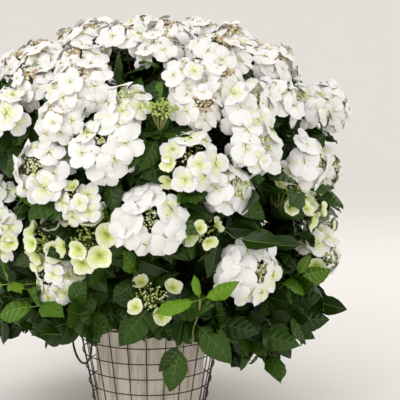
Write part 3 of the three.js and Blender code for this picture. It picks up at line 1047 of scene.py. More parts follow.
    def tip(self, angle: float, z: float, bulge: float, radius: float, leafy: bool) -> Tip:
        """Makes a tip that stands out from the crown's surface by its bulge."""
        facing = self.facing_at(angle, z)
        position = polar(self.radius_at(z), angle, z) + facing * bulge
        return Tip(angle, z, facing, position, unit(position - self.core), radius, leafy)

    def set_out_tips(self) -> None:
        """Places the front heads, then heads on a golden spiral where there is room, then the shoots."""
        stream = Stream(self.seed)
        for turn, z, bulge, radius, kind in self.front_heads:
            tip = self.tip(radians(self.front + turn), z, bulge, radius, False)
            tip.kind = kind
            self.tips.append(tip)
        for k in range(self.max_tips):
            z = self.top - (self.top - self.lowest_head) * (k / self.max_tips) ** self.thinning
            bulge = stream.about(0, 26)
            tip = self.tip(k * GOLDEN_TURN, z, bulge, stream.about(self.head_radius, 12), False)
            apart = lerp(*self.heads_apart, self.lowness(z) ** self.thinning)
            if all(norm(other.position - tip.position) > apart for other in self.tips):
                tip.kind = self.kind_at(z, len(self.tips))
                self.tips.append(tip)
        for k in range(self.shoot_count):
            angle = 2 * pi * (k + 0.3 * stream.draw()) / self.shoot_count
            z = self.shoot_height + self.shoot_rise * (k % 2) + stream.about(0, 16)
            self.tips.append(self.tip(angle, z, 0, 0, True))

    def lowness(self, z: float) -> float:
        """Gives how far down a height is, from 0 at the top to 1 at the lowest head."""
        return (self.top - z) / (self.top - self.lowest_head)

    def kind_at(self, z: float, number: int) -> HeadKind:
        """Chooses how far a head has come: the oldest are at the top and the youngest low down."""
        if z > self.aged_from:
            kinds = (HeadKind.AGED, HeadKind.OPEN, HeadKind.AGED)
        elif z > self.open_from:
            kinds = (HeadKind.OPEN, HeadKind.FRESH, HeadKind.OPEN)
        else:
            kinds = (HeadKind.FRESH, HeadKind.OPEN, HeadKind.YOUNG)
        return kinds[number % 3]

    def share_out_tips(self) -> None:
        """Gives each tip to the mass that is nearest in direction, and finds each mass's leader."""
        for tier in self.tiers:
            for i in range(tier.count):
                angle = radians(tier.turn) + 2 * pi * i / tier.count
                elevation = radians(tier.elevation)
                direction = polar(cos(elevation), angle, sin(elevation))
                number = f"_{i + 1}" if tier.count > 1 else ""
                self.masses.append(Mass(f"{tier.name}{number}", tier, angle, direction))
        for tip in self.tips:
            tip.mass = max(
                range(len(self.masses)), key=lambda i: float(self.masses[i].direction @ tip.direction)
            )
            self.masses[tip.mass].tips.append(tip)
        for mass in self.masses:
            mass.heading = unit(sum(tip.direction for tip in mass.tips))
            reaches = [float(norm(tip.position - self.core)) for tip in mass.tips]
            reach = sum(reaches) / len(reaches) * mass.tier.reach
            mass.foot = self.core + mass.heading * (reach - self.stem)
            mass.leader = max(mass.tips, key=lambda tip: float(tip.direction @ mass.heading))

    def cane_curve(self, mass: Mass) -> Bezier:
        """Gives the curve of a mass's cane, from below the soil up to the mass."""
        foot = polar(mass.tier.foot_ring, mass.angle, self.soil_top + self.gap)
        end = mass.foot - mass.heading * self.gap
        length = float(norm(end - foot))
        start = unit(polar(0.3, mass.angle, 1))
        before = end - mass.heading * 0.3 * length
        return Bezier.between(foot - start * 8, foot + start * 0.4 * length, before, end)

    def twig_end(self, tip: Tip) -> Array:
        """Gives the place where a tip's twig ends."""
        return tip.position if tip.leafy else tip.position - tip.facing * self.head_depth

    def grow_twigs(self, mass: Mass) -> None:
        """Runs the leader on from the cane, and lets the other twigs leave it one after another."""
        leader = mass.leader
        end = self.twig_end(leader)
        pull = 0.35 * float(norm(end - mass.foot))
        before = end - leader.arrival() * pull
        leader.twig = Bezier.between(mass.foot, mass.foot + mass.heading * pull, before, end)
        others = [tip for tip in mass.tips if tip is not leader]
        for k, tip in enumerate(others):
            share = 0.1 + 0.36 * (k + 0.5) / len(others)
            tip.twig = leader.twig.branch(share, self.twig_end(tip), tip.arrival())

    def set_out_side_heads(self) -> None:
        """Places the smaller heads between the main ones, listed at the front and by a spiral."""
        places = []
        for turn, z, size, kind in self.side_heads:
            places.append((radians(self.front + turn), z, size, kind))
        stream = Stream(self.seed + 60)
        for k in range(self.max_side_heads):
            down = (k / self.max_side_heads) ** self.side_thinning
            z = self.top - (self.top - self.side_lowest) * down
            angle = k * GOLDEN_TURN + self.side_start
            size = stream.about(self.side_radius, 10)
            if abs(self.turn_of(angle)) > self.front_half:
                places.append((angle, z, size, self.kind_at(z, k)))
        heads = [tip for tip in self.tips if not tip.leafy]
        for angle, z, size, kind in places:
            tip = self.tip(angle, z, stream.about(-6, 12), size, False)
            by_hand = abs(self.turn_of(angle)) <= self.front_half
            apart = self.front_apart if by_hand else lerp(*self.side_apart, self.lowness(z))
            if min(float(norm(head.position - tip.position)) for head in heads) < apart:
                continue
            parent = self.nearest_tip(tip.position)
            tip.kind = kind
            tip.mass = parent.mass
            tip.twig = parent.twig.branch(self.side_fork, self.twig_end(tip), tip.arrival())
            self.twiglets.append(Twiglet(tip.twig, 2.2, 1.7, z > self.red_from))
            self.side_tips.append(tip)
            heads.append(tip)

    def nearest_tip(self, place: Array) -> Tip:
        """Finds the tip of a main twig that is nearest to a place."""
        return min(self.tips, key=lambda tip: float(norm(tip.position - place)))

    def in_space(self, points: Array, mass: int, margin: float) -> bool:
        """Tells if points lie in a mass's space.

        Args:
            points: The points, one in a row.
            mass: The mass's number.
            margin: How far inside its space they must lie. A negative one lets them stray.

        Returns:
            True where each is nearer in direction to one of the mass's tips than to any other's.
        """
        ray = points - self.core
        dots = ray @ self.directions.T
        mine = self.owners == mass
        own = np.argmax(np.where(mine, dots, -np.inf), axis=1)
        across = self.directions[own][:, None, :] - self.directions[None, :, :]
        lengths = norm(across, axis=2)
        lengths[lengths == 0] = 1
        closeness = (np.take_along_axis(dots, own[:, None], 1) - dots) / lengths
        return bool((closeness[:, ~mine] > margin).all())

    def is_clear(self, points: Array) -> bool:
        """Tells if points are clear of the planter, its handles' way, the canes and the crown's loft."""
        x, y, z = points.T
        radius = np.hypot(x, y)
        foot = self.basket_wire / 2
        rise = (np.minimum(z, self.basket_height) - foot) / (self.basket_height - foot)
        wall = self.basket_foot + (self.basket_rim - self.basket_foot) * rise + self.planter_gap
        beside = (np.abs(y) < self.handle_half) & (np.abs(x) < self.handle_reach)
        high = np.clip((z - self.wide) / (self.top - self.wide), 0, 1)
        dome = self.wide_radius * (1 - high**self.roundness) ** (1 / self.roundness)
        blocked = (z < self.planter_top) & (radius < wall)
        blocked |= beside & (z > self.handle_foot) & (z < self.handle_top)
        blocked |= z < self.hem_at(x, y)
        blocked |= z > self.top - self.loft
        blocked |= (z > self.wide + self.dome_from) & (radius > dome + self.dome_slack)
        if blocked.any():
            return False
        from_rooms = norm(points[:, None, :] - self.room_middles[None, :, :], axis=2)
        if (from_rooms < self.room_sizes).any():
            return False
        apart = norm(points[:, None, :] - self.cane_points[None, :, :], axis=2)
        return bool((apart > self.cane_radius + self.cane_gap).all())

    def hem_at(self, x: Array, y: Array) -> Array:
        """Gives the lowest heights for leaves: higher at the front, the side and beside the handles."""
        turns = self.turn_of(np.arctan2(y, x))
        handle = self.hem_handle.rise_at(y) * (np.abs(x) > self.hem_handle_from)
        rises = [self.hem_front.rise_at(turns), self.hem_side.rise_at(turns), handle]
        return self.hem_low + np.max(rises, axis=0)

    def try_leaf(
        self, root: Array, along: Array, roll: float, size: float, mass: int, paint: Paint, inner: bool
    ) -> None:
        """Turns and shortens a leaf until it fits, and keeps it if it does.

        Args:
            root: The stalk's foot, on the twig.
            along: The way that the twig runs there.
            roll: The leaf's angle round the twig.
            size: Its length at full size.
            mass: The mass that it belongs to.
            paint: Its finish.
            inner: True for a leaf that hangs in the crown's shade.
        """
        level = np.cross(along, UP)
        level = unit(level) if norm(level) > 0.03 else np.array([1.0, 0.0, 0.0])
        rise = np.cross(level, along)
        droop = min(max((self.droop_top - root[2]) / self.droop_span, 0), 1)
        least, more = self.leaf_droop
        for turn, scale, hang in self.leaf_tries:
            angle = roll + turn
            aside = level * cos(angle) + rise * sin(angle)
            sink = least + more * droop * hang
            direction = unit(self.leaf_aside * aside + self.leaf_along * along - UP * sink)
            facing = along + self.leaf_upturn * UP
            facing = unit(facing - direction * (facing @ direction))
            length = size * scale
            across = np.cross(facing, direction) * self.leaf_half * length
            middle = root + direction * 0.5 * length
            samples = np.array([middle, middle + across, middle - across, root + direction * length])
            if self.in_space(samples, mass, -self.leaf_stray) and self.is_clear(samples):
                self.leaves.append(Leaf(root, direction, facing, length, paint, inner))
                return

    def leaf_paint(self, tip: Tip, share: float, stream: Stream) -> Paint:
        """Chooses a leaf's green: the inner ones are deep as painted shade, and some leafy shoots end in
        young ones.
        """
        chance = stream.draw()
        if tip.leafy and share > self.young_from and int(tip.angle * 7) % 5 == 0:
            return Paint.LEAF_YOUNG
        # The deep green on a twig's inner part is painted shade; elsewhere it is a random tone of the
        # leaves.
        if chance < self.deep_below or share < self.shade_below:
            return Paint.LEAF_DEEP
        return Paint.LEAF_MID if chance < self.mid_below else Paint.LEAF_LIGHT

    def set_pairs(
        self,
        twig: Bezier,
        shares: Sequence[float],
        mass: int,
        stream: Stream,
        rule: PairRule,
        choose: Choice,
    ) -> None:
        """Sets crossed pairs of leaves along a twig.

        Args:
            twig: The twig.
            shares: Places of the pairs on its length.
            mass: The number of the mass that it belongs to.
            stream: Where the chances of turn and size come from.
            rule: How the pairs vary.
            choose: Gives a leaf's finish, and whether it hangs in the shade, for its place.
        """
        for k, share in enumerate(shares):
            roll = (k % 2) * pi / 2 + stream.about(0, rule.spread) + rule.turn
            for side in (0, 1):
                root, along = twig.stand(share + rule.step * side)
                size = self.leaf_length * rule.scale * (rule.least + rule.span * stream.draw())
                self.try_leaf(root, along, roll + pi * side, size, mass, *choose(share))

    def grow_leaves(self, index: int) -> None:
        """Sets leaves on a mass's twigs in pairs, first where the solids have them and then between."""
        mass = self.masses[index]
        stream = Stream(self.seed + self.stream_step * (index + 1))
        tints = Stream(Seed.TINT + index)
        for tip in mass.tips:

            def choose(share: float) -> tuple[Paint, bool]:
                """Chooses the green of a leaf that the solids have too."""
                return self.leaf_paint(tip, share, tints), False

            def choose_finer(share: float) -> tuple[Paint, bool]:
                """Chooses the green of a leaf between them, in the shade on the twig's first half."""
                return self.leaf_paint(tip, share, tints), share < 0.5

            outer = [0.45, 0.65, 0.83, 0.985] if tip.leafy else [0.5, 0.78]
            shares = [0.12, 0.24, 0.38, *outer] if tip is mass.leader else outer
            self.set_pairs(tip.twig, shares, index, stream, self.main_pairs, choose)
            finer = [0.32, 0.56, 0.74, 0.92] if tip.leafy else [0.3, 0.4, 0.62, 0.7, 0.88]
            self.set_pairs(tip.twig, finer, index, tints, self.between_pairs, choose_finer)

    def grow_laterals(self, index: int) -> None:
        """Lets short leafy side twigs leave a mass's main twigs, in the shade and at the crown's face."""
        mass = self.masses[index]
        stream = Stream(Seed.LATERAL + index)
        for tip in mass.tips:
            for share in (0.16, 0.3, 0.44, 0.6):
                for side in (0, 1):
                    root, along = tip.twig.stand(share + 0.04 * side)
                    level = upright_frame(along)
                    angle = stream.about(0, 1.2) + pi * side + share * 9
                    aside = level[0] * cos(angle) + level[1] * sin(angle)
                    start = unit(aside * 0.9 + along * 0.6)
                    length = stream.about(74, 40)
                    end = root + unit(start + along * 0.4) * length
                    outside = not self.in_space(end[None, :], index, -self.twig_stray)
                    if outside or not self.is_clear(end[None, :]):
                        continue
                    before = end - along * 0.25 * length
                    curve = Bezier.between(root, root + start * 0.4 * length, before, end)
                    self.twiglets.append(Twiglet(curve, 1.7, 1.1))
                    self.dress_twiglet(curve, (0.55, 0.98), index, stream, share < 0.5)

    def dress_twiglet(
        self, curve: Bezier, shares: Sequence[float], mass: int, stream: Stream, inner: bool
    ) -> None:
        """Sets crossed pairs of leaves on a finer twig.

        Args:
            curve: The twig.
            shares: Places of the pairs on its length.
            mass: The number of the mass that it belongs to.
            stream: Where its chances come from.
            inner: True inside the crown's shade, where the leaves take the deep green as painted shade.
        """

        def choose(_: float) -> tuple[Paint, bool]:
            """Chooses a green: deep as painted shade inside the crown, and mixed outside it."""
            chance = stream.draw()
            if inner or chance < 0.35:
                return Paint.LEAF_DEEP, inner
            return Paint.LEAF_LIGHT if chance > 0.9 else Paint.LEAF_MID, False

        self.set_pairs(curve, shares, mass, stream, self.twiglet_pairs, choose)

    def grow_shade_leaves(self, index: int) -> None:
        """Sets pairs of leaves on a mass's cane, in the crown's shade, all in the deep green as painted
        shade.
        """
        shares = (0.46, 0.58, 0.7, 0.82, 0.94)
        stream = Stream(Seed.SHADE + index)
        cane = self.masses[index].cane
        # The deep green here is painted shade.
        deep = (Paint.LEAF_DEEP, True)
        self.set_pairs(cane, shares, index, stream, self.shade_pairs, lambda _: deep)

    def grow_side_leaves(self) -> None:
        """Sets leaves on the twigs of the side heads."""
        stream = Stream(Seed.SIDE_LEAF)
        for tip in self.side_tips:
            self.dress_twiglet(tip.twig, (0.42, 0.66, 0.86), tip.mass, stream, False)

    def set_leaf(self, root: Array, direction: Array, facing: Array, length: float, paint: Paint) -> None:
        """Sets a given leaf, with its facing squared to its direction."""
        direction = unit(direction)
        facing = unit(facing - direction * (facing @ direction))
        self.leaves.append(Leaf(root, direction, facing, length, paint))

    def grow_spray(self, turn: float, radius: float, z: float, paint: Paint) -> None:
        """Adds a side shoot from the nearest twig, which ends in a pair of leaves and a smaller one.

        Args:
            turn: The spray's turn round Z from the front, in degrees.
            radius: Its distance from Z.
            z: Its height.
            paint: The finish of its leaves.
        """
        out = self.seen_at(turn, 1, 0)
        end = out * radius + UP * z
        root, along = self.nearest_tip(end).twig.stand(0.6)
        curve = Bezier.between(root, root + along * 30, end - out * 30 - UP * 14, end)
        self.twiglets.append(Twiglet(curve, 2.1, 1.6))
        beside = np.cross(UP, out)
        for side, rise, length in ((1.0, 0.15, 86), (-1.0, -0.15, 90), (0.15, 0.9, 54)):
            direction = beside * side + out * 0.5 + UP * rise
            self.set_leaf(end, direction, UP + out * 0.8, length, paint)

    def grow_front_shoot(self) -> None:
        """Adds the front's young shoot, the old twig that hangs from it, their leaves and the sprays."""
        arch = self.seen_at(17, 384, 324)
        root, along = self.nearest_tip(arch).twig.stand(0.6)
        rise = Bezier.between(root, root + along * 50, arch - self.seen_at(0, 40, 20), arch)
        knee = self.seen_at(16, 356, 246)
        hang = Bezier.between(arch, arch + [0, 0, -40], knee + [0, 0, 36], knee)
        end = self.seen_at(13, 340, 234)
        hook = Bezier.between(knee, knee + [0, 0, -10], lerp(knee, end, 0.6) - [0, 0, 8], end)
        for curve, start, finish in ((rise, 2.6, 2.2), (hang, 2.2, 1.9), (hook, 1.9, 1.5)):
            self.twiglets.append(Twiglet(curve, start, finish))
        aim = np.array([unit(self.seen_at(90, 1, 0)), UP, unit(self.seen_at(8, 1, 0))])
        high, _ = self.tips[self.settled[0][0]].twig.stand(0.94)
        low, _ = self.tips[self.settled[1][0]].twig.stand(0.97)
        for root, direction, facing, length, paint in (
            (arch, (-1, -0.05, 0.45), (0, 1, 0.6), 92, Paint.LEAF_YOUNG),
            (arch, (1, 0.6, 0.3), (-0.2, 0.8, 1), 84, Paint.LEAF_YOUNG),
            (arch, (-0.2, 1, 0.1), (0.5, 0, 1), 50, Paint.LEAF_YOUNG),
            (knee + [0, 0, 34], (0.72, -0.7, 0.25), (0, 0.45, 1), 108, Paint.LEAF_MID),
            (end, (-0.26, -1, 0.12), (-0.2, 0, 1), 98, Paint.LEAF_MID),
            (end, (-0.62, -0.9, 0.2), (0.2, 0, 1), 70, Paint.LEAF_DEEP),
            (low, (-0.64, -0.7, 0.3), (-0.2, 0.3, 1), 104, Paint.LEAF_MID),
            (low, (0.16, -0.9, 0.3), (0, 0.2, 1), 72, Paint.LEAF_MID),
            (high, (-0.5, -0.75, 0.7), (0, 0.3, 1), 88, Paint.LEAF_MID),
            (high, (0.8, 0.1, 0.6), (0, 1, 0.6), 66, Paint.LEAF_MID),
            (high, (-0.8, 0.15, 0.6), (0, 1, 0.6), 56, Paint.LEAF_DEEP),
        ):
            self.set_leaf(root, direction @ aim, facing @ aim, length, paint)
        for spray in self.sprays:
            self.grow_spray(*spray)


# The plant's pieces


@dataclass
class LeafShape:
    """An ovate leaf, folded at its midrib and quilted between its side veins. One unit is its length."""

    rows: int = 12
    across: int = 4
    stalk: float = 0.15
    half_width: float = 0.252
    fold: float = 0.2
    sag: float = 0.16
    twist: float = 0.0
    quilt: float = 0.023
    tooth: float = 0.06
    sweep_forward: float = 0.19
    vein_lift: float = 0.007

    def width_at(self, share: float) -> float:
        """Gives the half width at a share of the blade's length, widest a little below its middle."""
        if share <= 0 or share >= 1:
            return 0.0
        return self.half_width * 2.861 * share**0.68 * (1 - share) ** 0.85 * (1 - 0.36 * share**6)

    def surface(self, across: float, share: float, row: int) -> Array:
        """Gives a point of the blade.

        Args:
            across: From -1 at the left edge to 1 at the right edge.
            share: Share of the blade's length where the side vein leaves the midrib.
            row: Row of the grid. Even rows lie along the side veins.

        Returns:
            The point, with the leaf along +Y and its upper side towards +Z.
        """
        edge = abs(across)
        raised = row % 2 == 1
        forward = share + self.sweep_forward * edge**1.3 * sin(pi * share**0.85)
        width = self.width_at(forward) * (1 + (self.tooth if raised and edge > 0.9 else 0.0))
        y = self.stalk + (1 - self.stalk) * forward
        x = across * width
        quilt = (self.quilt if raised else -self.quilt) * 4 * edge * (1.08 - edge)
        bend = self.sag * (0.35 * forward - forward**2)
        ripple = 0.03 * sin(9 * forward + 2 * across) * edge**2
        z = self.fold * abs(x) - 0.55 * x * x / self.half_width + quilt + bend
        z += (ripple + self.twist * x) * sin(pi * min(share, 1))
        return np.array([x, y, z])

    def pillow(self, side: int, band: int) -> Pattern:
        """Models what lies between two side veins on one half of the blade."""

        def place(u: float, v: float) -> Sequence[float]:
            """Gives the blade's point for a share across and a share along."""
            row = 2 * band + round(2 * v)
            return self.surface(u if side > 0 else u - 1, row / self.rows, row)

        return grid(self.across // 2, 2, place)

    def blade(self) -> Pattern:
        """Models the blade from its pillows, which meet in creases at the veins."""
        places = [(side, band) for side in (-1, 1) for band in range(self.rows // 2)]
        return Pattern.joined(self.pillow(*place) for place in places)

    def midrib(self) -> Pattern:
        """Models the stalk and the midrib that goes on from it."""
        shares = np.array([0, 3, 6, 9, 12]) / 12
        spine = [self.surface(0, s, 2) + [0, 0, 0.001] for s in shares]
        stalk = [np.array([0.0, 0.0, 0.0]), np.array([0.0, 0.5 * self.stalk, 0.004])]
        radii = np.array([0.0125, 0.011, 0.0105, 0.0085, 0.0065, 0.005, 0.0025])
        return sweep(np.array(stalk + spine), radii, 3)

    def side_veins(self) -> Pattern:
        """Models the side veins."""
        places = [(side, row / self.rows, row) for row in range(2, self.rows - 1, 2) for side in (-1, 1)]
        return Pattern.joined(self.side_vein(*place) for place in places)

    def side_vein(self, side: int, share: float, row: int) -> Pattern:
        """Models one side vein as a slim strip on the blade."""
        points = []
        for across, half in ((0.0, 0.012), (0.5, 0.0095), (0.92, 0.005)):
            middle = self.surface(side * across, share, row) + [0, 0, self.vein_lift]
            points += [middle - [0, half, 0], middle + [0, half, 0]]
        order = [0, 2, 3, 1, 2, 4, 5, 3] if side > 0 else [0, 1, 3, 2, 2, 3, 5, 4]
        return Pattern(np.array(points), np.array(order), np.array([4, 4]))


@dataclass
class FloretShape:
    """A floret of four broad sepals with frilled edges. One unit is its radius."""

    cup: float
    frill: float
    span: float
    curl: float
    seed: int
    notch: float = 0.46
    columns: int = 8
    rings: tuple[float, ...] = (0.06, 0.32, 0.7, 1.0)

    def zone(self, first: int, last: int) -> Pattern:
        """Models the four sepals between two of their rings.

        Args:
            first: The inner ring's number.
            last: The outer ring's number.

        Returns:
            That zone of the floret, facing +Z.
        """
        parts = []
        stream = Stream(self.seed)
        for k in range(4):
            frills = [stream.about(0, 2) for _ in range(self.columns + 1)]
            length = stream.about(0.96, 0.14)
            lean = stream.about(0, 0.14)
            tip = stream.about(0, 0.16)

            def place(u: float, v: float) -> Sequence[float]:
                """Gives the sepal's point for a share across and a share along."""
                number = first + round(v * (last - first))
                ring = self.rings[number]
                frill = self.frill * frills[round(u * self.columns)]
                side = sin(pi * (u - 0.5))
                if 0 < number < len(self.rings) - 1:
                    ring *= 1 - 0.22 * abs(side)
                reach = length * (1 - self.notch * abs(side) ** 2.6) * (1 + 0.7 * frill * ring)
                angle = side * self.span * (0.74 + 0.26 * ring**0.7) + lean * ring
                radius = ring * reach
                z = self.cup * radius**1.5 + 1.6 * frill * ring**3 + tip * ring**2
                z -= 0.2 * side * side * ring + self.curl * max(0.0, ring - 0.55) ** 1.5
                return (radius * sin(angle), radius * cos(angle), z)

            lift = 0.035 if k % 2 else -0.035
            parts.append(grid(self.columns, last - first, place).turned(k * pi / 2, lift))
        return Pattern.joined(parts)


YOUNG_ZONES = (
    (0, 1, Paint.PETAL_GREEN),
    (1, 2, Paint.PETAL_LIME),
    (2, 3, Paint.PETAL_PALE),
    (3, 4, Paint.PETAL_CREAM),
)


@dataclass(frozen=True)
class HeadPlan:
    """What a kind of flower head holds.

    The sizes are shares of the head's radius. The lift is how far the florets stand above the twig's
    end, and the rise is how much the head turns up from the crown's face.
    """

    floret: float
    ring: int
    knots: int
    knot_reach: float
    skirt: int = 0
    inner: int = 0
    zones: tuple[tuple[int, int, Paint], ...] = YOUNG_ZONES
    buds: tuple[Paint, ...] = (Paint.BUD_GREEN,)
    ring_reach: float = 0.62
    cupped: bool = False
    lift: float = 24.0
    rise: float = 0.3
    younger: HeadKind | None = None
    younger_share: float = 0.0
    knot_height: float = 11.0
    bud_size: float = 2.0
    lean: float = 0.62


HEAD_PLANS = {
    HeadKind.OPEN: HeadPlan(
        0.52, 7, 11, 0.36, 4, 0,
        zones=((0, 1, Paint.PETAL_CREAM), (1, 3, Paint.PETAL_WHITE)),
        buds=(Paint.BUD_GREEN, Paint.BUD_CREAM, Paint.BUD_CREAM),
        ring_reach=0.6, younger=HeadKind.FRESH, younger_share=0.3, bud_size=2.4,
    ),
    HeadKind.AGED: HeadPlan(
        0.45, 8, 9, 0.36, 5, 1,
        zones=((0, 1, Paint.PETAL_CREAM), (1, 3, Paint.PETAL_BLUSH)),
        buds=(Paint.BUD_TAN, Paint.BUD_CREAM, Paint.BUD_TAN),
        rise=0.0, younger=HeadKind.FRESH, younger_share=0.08, knot_height=15.0, bud_size=2.9,
    ),
    HeadKind.FRESH: HeadPlan(
        0.45, 7, 8, 0.4, 3, 1,
        zones=((0, 1, Paint.PETAL_PALE), (1, 2, Paint.PETAL_CREAM), (2, 3, Paint.PETAL_WHITE)),
        buds=(Paint.BUD_GREEN, Paint.BUD_CREAM),
        younger=HeadKind.YOUNG, younger_share=0.28,
    ),
    HeadKind.YOUNG: HeadPlan(0.38, 6, 8, 0.45, 0, 1, ring_reach=0.66, cupped=True, rise=0.4),
    HeadKind.BUD: HeadPlan(
        0.33, 4, 10, 0.6,
        buds=(Paint.BUD_GREEN, Paint.BUD_GREEN, Paint.BUD_CREAM),
        ring_reach=0.84, cupped=True, lift=40.0, rise=0.8, lean=0.2,
    ),
    HeadKind.TIGHT: HeadPlan(0.3, 0, 12, 0.8, zones=(), lift=46.0, rise=1.5, bud_size=2.5),
}


@dataclass(frozen=True)
class HeadSeat:
    """Where a head sits: its twig's end, its middle and its axes, the last of which it faces along."""

    kind: HeadKind
    base: Array
    middle: Array
    axes: Array
    radius: float

    @classmethod
    def of(cls, tip: Tip) -> HeadSeat:
        """Finds the seat of the head at a tip."""
        plan = HEAD_PLANS[tip.kind]
        base = tip.twig.corners[3]
        axes = upright_frame(unit(tip.facing + UP * plan.rise))
        return cls(tip.kind, base, base + axes[2] * plan.lift, axes, tip.radius)

    def spot(self, reach: float, angle: float, height: float) -> Array:
        """Gives a place by its distance from the middle in millimetres, its angle and its height."""
        return self.middle + self.aside(angle) * reach + self.axes[2] * height

    def aside(self, angle: float) -> Array:
        """Gives the way outwards at an angle round the head."""
        return self.axes[0] * cos(angle) + self.axes[1] * sin(angle)


@dataclass
class HeadMaker:
    """Flower heads: rays from a twig's end, each with a floret or a knot of buds."""

    variants: int = 4
    common_radius: float = 66.0
    ray_radius: float = 0.9
    knot_radius: float = 0.8
    hair_radius: float = 0.42
    knot_buds: int = 8
    shapes: dict[HeadKind, list[list[tuple[Paint, Pattern]]]] = field(default_factory=dict)
    bud: Pattern = field(init=False)
    stalk: Pattern = field(init=False)
    petals: dict[Paint, Bundle] = field(default_factory=dict)
    buds: dict[Paint, Bundle] = field(default_factory=dict)
    stalks: Bundle = field(default_factory=Bundle)

    def model(self) -> None:
        """Models the florets, a bud and a stalk once each."""
        numbers = range(self.variants)
        rings = (0.06, 0.24, 0.46, 0.72, 1.0)
        flat = [FloretShape(0.1, 0.055, 1.0, 0.4, Seed.FLORET + i) for i in numbers]
        cupped = [FloretShape(0.5, 0.05, 1.1, 0.1, Seed.CUPPED + i, 0.26, rings=rings) for i in numbers]
        for kind, plan in HEAD_PLANS.items():
            self.shapes[kind] = [
                [(paint, shape.zone(first, last)) for first, last, paint in plan.zones]
                for shape in (cupped if plan.cupped else flat)
            ]
        self.bud = Pattern.pebble(1, lambda place: (1.0, 1.0, 1.15 if place.z > 0 else 0.9))
        deselect()
        bpy.ops.mesh.primitive_cone_add(vertices=3, radius1=1.0, radius2=0.7, depth=1.0)
        stalk = bpy.context.object
        edit(stalk, lambda: bpy.ops.mesh.normals_make_consistent(inside=False))
        shape = Pattern.lifted(stalk)
        self.stalk = Pattern(shape.points + [0, 0, 0.5], shape.corners, shape.counts)

    def add_stalk(self, start: Array, end: Array, radius: float) -> None:
        """Adds a stalk between two points."""
        along = end - start
        length = float(norm(along))
        frame = upright_frame(along / length)
        frame = np.array([frame[0] * radius, frame[1] * radius, frame[2] * length])
        self.stalks.add(self.stalk, frame, start)

    def add_head(self, tip: Tip, stream: Stream) -> None:
        """Adds a flower head at a tip: a ring of florets, a skirt that hangs below and a few inside."""
        plan = HEAD_PLANS[tip.kind]
        seat = HeadSeat.of(tip)
        fullness = tip.radius / self.common_radius
        size = plan.floret * 0.5 * (tip.radius + self.common_radius)
        first = stream.draw() * 2 * pi
        ring = max(4, round(plan.ring * fullness)) if plan.ring else 0
        for i in range(ring):
            angle = first + 2 * pi * i / ring + stream.about(0, 0.3)
            place = seat.spot(tip.radius * stream.about(plan.ring_reach, 0.1), angle, stream.about(1, 9))
            lean = stream.about(plan.lean, 0.4)
            self.add_floret(seat, place, angle, lean, size * stream.about(1, 0.24), stream)
        skirt = round(plan.skirt * fullness)
        for i in range(skirt):
            angle = first + 0.4 + 2 * pi * i / skirt + stream.about(0, 0.8)
            place = seat.spot(tip.radius * stream.about(0.8, 0.08), angle, stream.about(-19, 8))
            lean = stream.about(1.1, 0.3)
            self.add_floret(seat, place, angle, lean, size * stream.about(0.9, 0.2), stream)
        start = stream.draw() * 2 * pi
        for i in range(plan.inner):
            angle = start + 2.2 * i + stream.about(0, 0.4)
            height = stream.about(plan.knot_height + 7, 5)
            place = seat.spot(tip.radius * stream.about(0.3, 0.1), angle, height)
            lean = stream.about(0.24, 0.3)
            self.add_floret(seat, place, angle, lean, size * stream.about(0.8, 0.2), stream)
        self.add_buds(seat, plan, stream)

    def add_floret(
        self, seat: HeadSeat, place: Array, angle: float, lean: float, size: float, stream: Stream
    ) -> None:
        """Adds one floret that leans outwards, with its ray and the knot in its throat.

        Args:
            seat: The head's seat.
            place: The floret's middle.
            angle: Its angle round the head.
            lean: How far it leans from the head's axis.
            size: Its radius.
            stream: Where its chances come from.
        """
        wander = seat.axes[0] * stream.about(0, 0.4) + seat.axes[1] * stream.about(0, 0.4)
        normal = unit(seat.axes[2] * cos(lean) + seat.aside(angle) * sin(lean) + wander)
        own = upright_frame(normal)
        turn = stream.draw() * pi / 2
        x = own[0] * cos(turn) + own[1] * sin(turn)
        frame = np.array([x, np.cross(normal, x), normal]) * size
        kind = seat.kind
        plan = HEAD_PLANS[kind]
        if plan.younger and stream.draw() < plan.younger_share:
            kind = plan.younger
            frame = frame * (0.72 if HEAD_PLANS[kind].cupped else 0.94)
        shapes = self.shapes[kind]
        for paint, pattern in shapes[int(stream.draw() * len(shapes))]:
            self.petals.setdefault(paint, Bundle()).add(pattern, frame, place)
        knot = self.buds.setdefault(Paint.BUD_GREEN, Bundle())
        knot.add(self.bud, frame * 0.055, place + normal * 0.02 * size)
        self.add_stalk(seat.base, place - normal * 0.04 * size, self.ray_radius)

    def add_buds(self, seat: HeadSeat, plan: HeadPlan, stream: Stream) -> None:
        """Adds the fertile middle of a head: knots of tiny buds on rays of their own."""
        for k in range(plan.knots):
            angle = GOLDEN_TURN * k + stream.about(0, 0.3)
            reach = seat.radius * plan.knot_reach * sqrt((k + 0.4) / plan.knots)
            height = plan.knot_height - 0.12 * reach + stream.about(0, 5)
            fork = seat.spot(reach * 0.75, angle, height - 10)
            self.add_stalk(seat.base, fork, self.knot_radius)
            for i in range(self.knot_buds):
                swing = stream.about(0, 18) / max(reach, 9)
                place = seat.spot(reach + stream.about(0, 18), angle + swing, height + stream.about(0, 6))
                size = stream.about(plan.bud_size, 0.9)
                bundle = self.buds.setdefault(plan.buds[(i + k) % len(plan.buds)], Bundle())
                bundle.add(self.bud, seat.axes * size, place)
                self.add_stalk(fork, place, self.hair_radius)


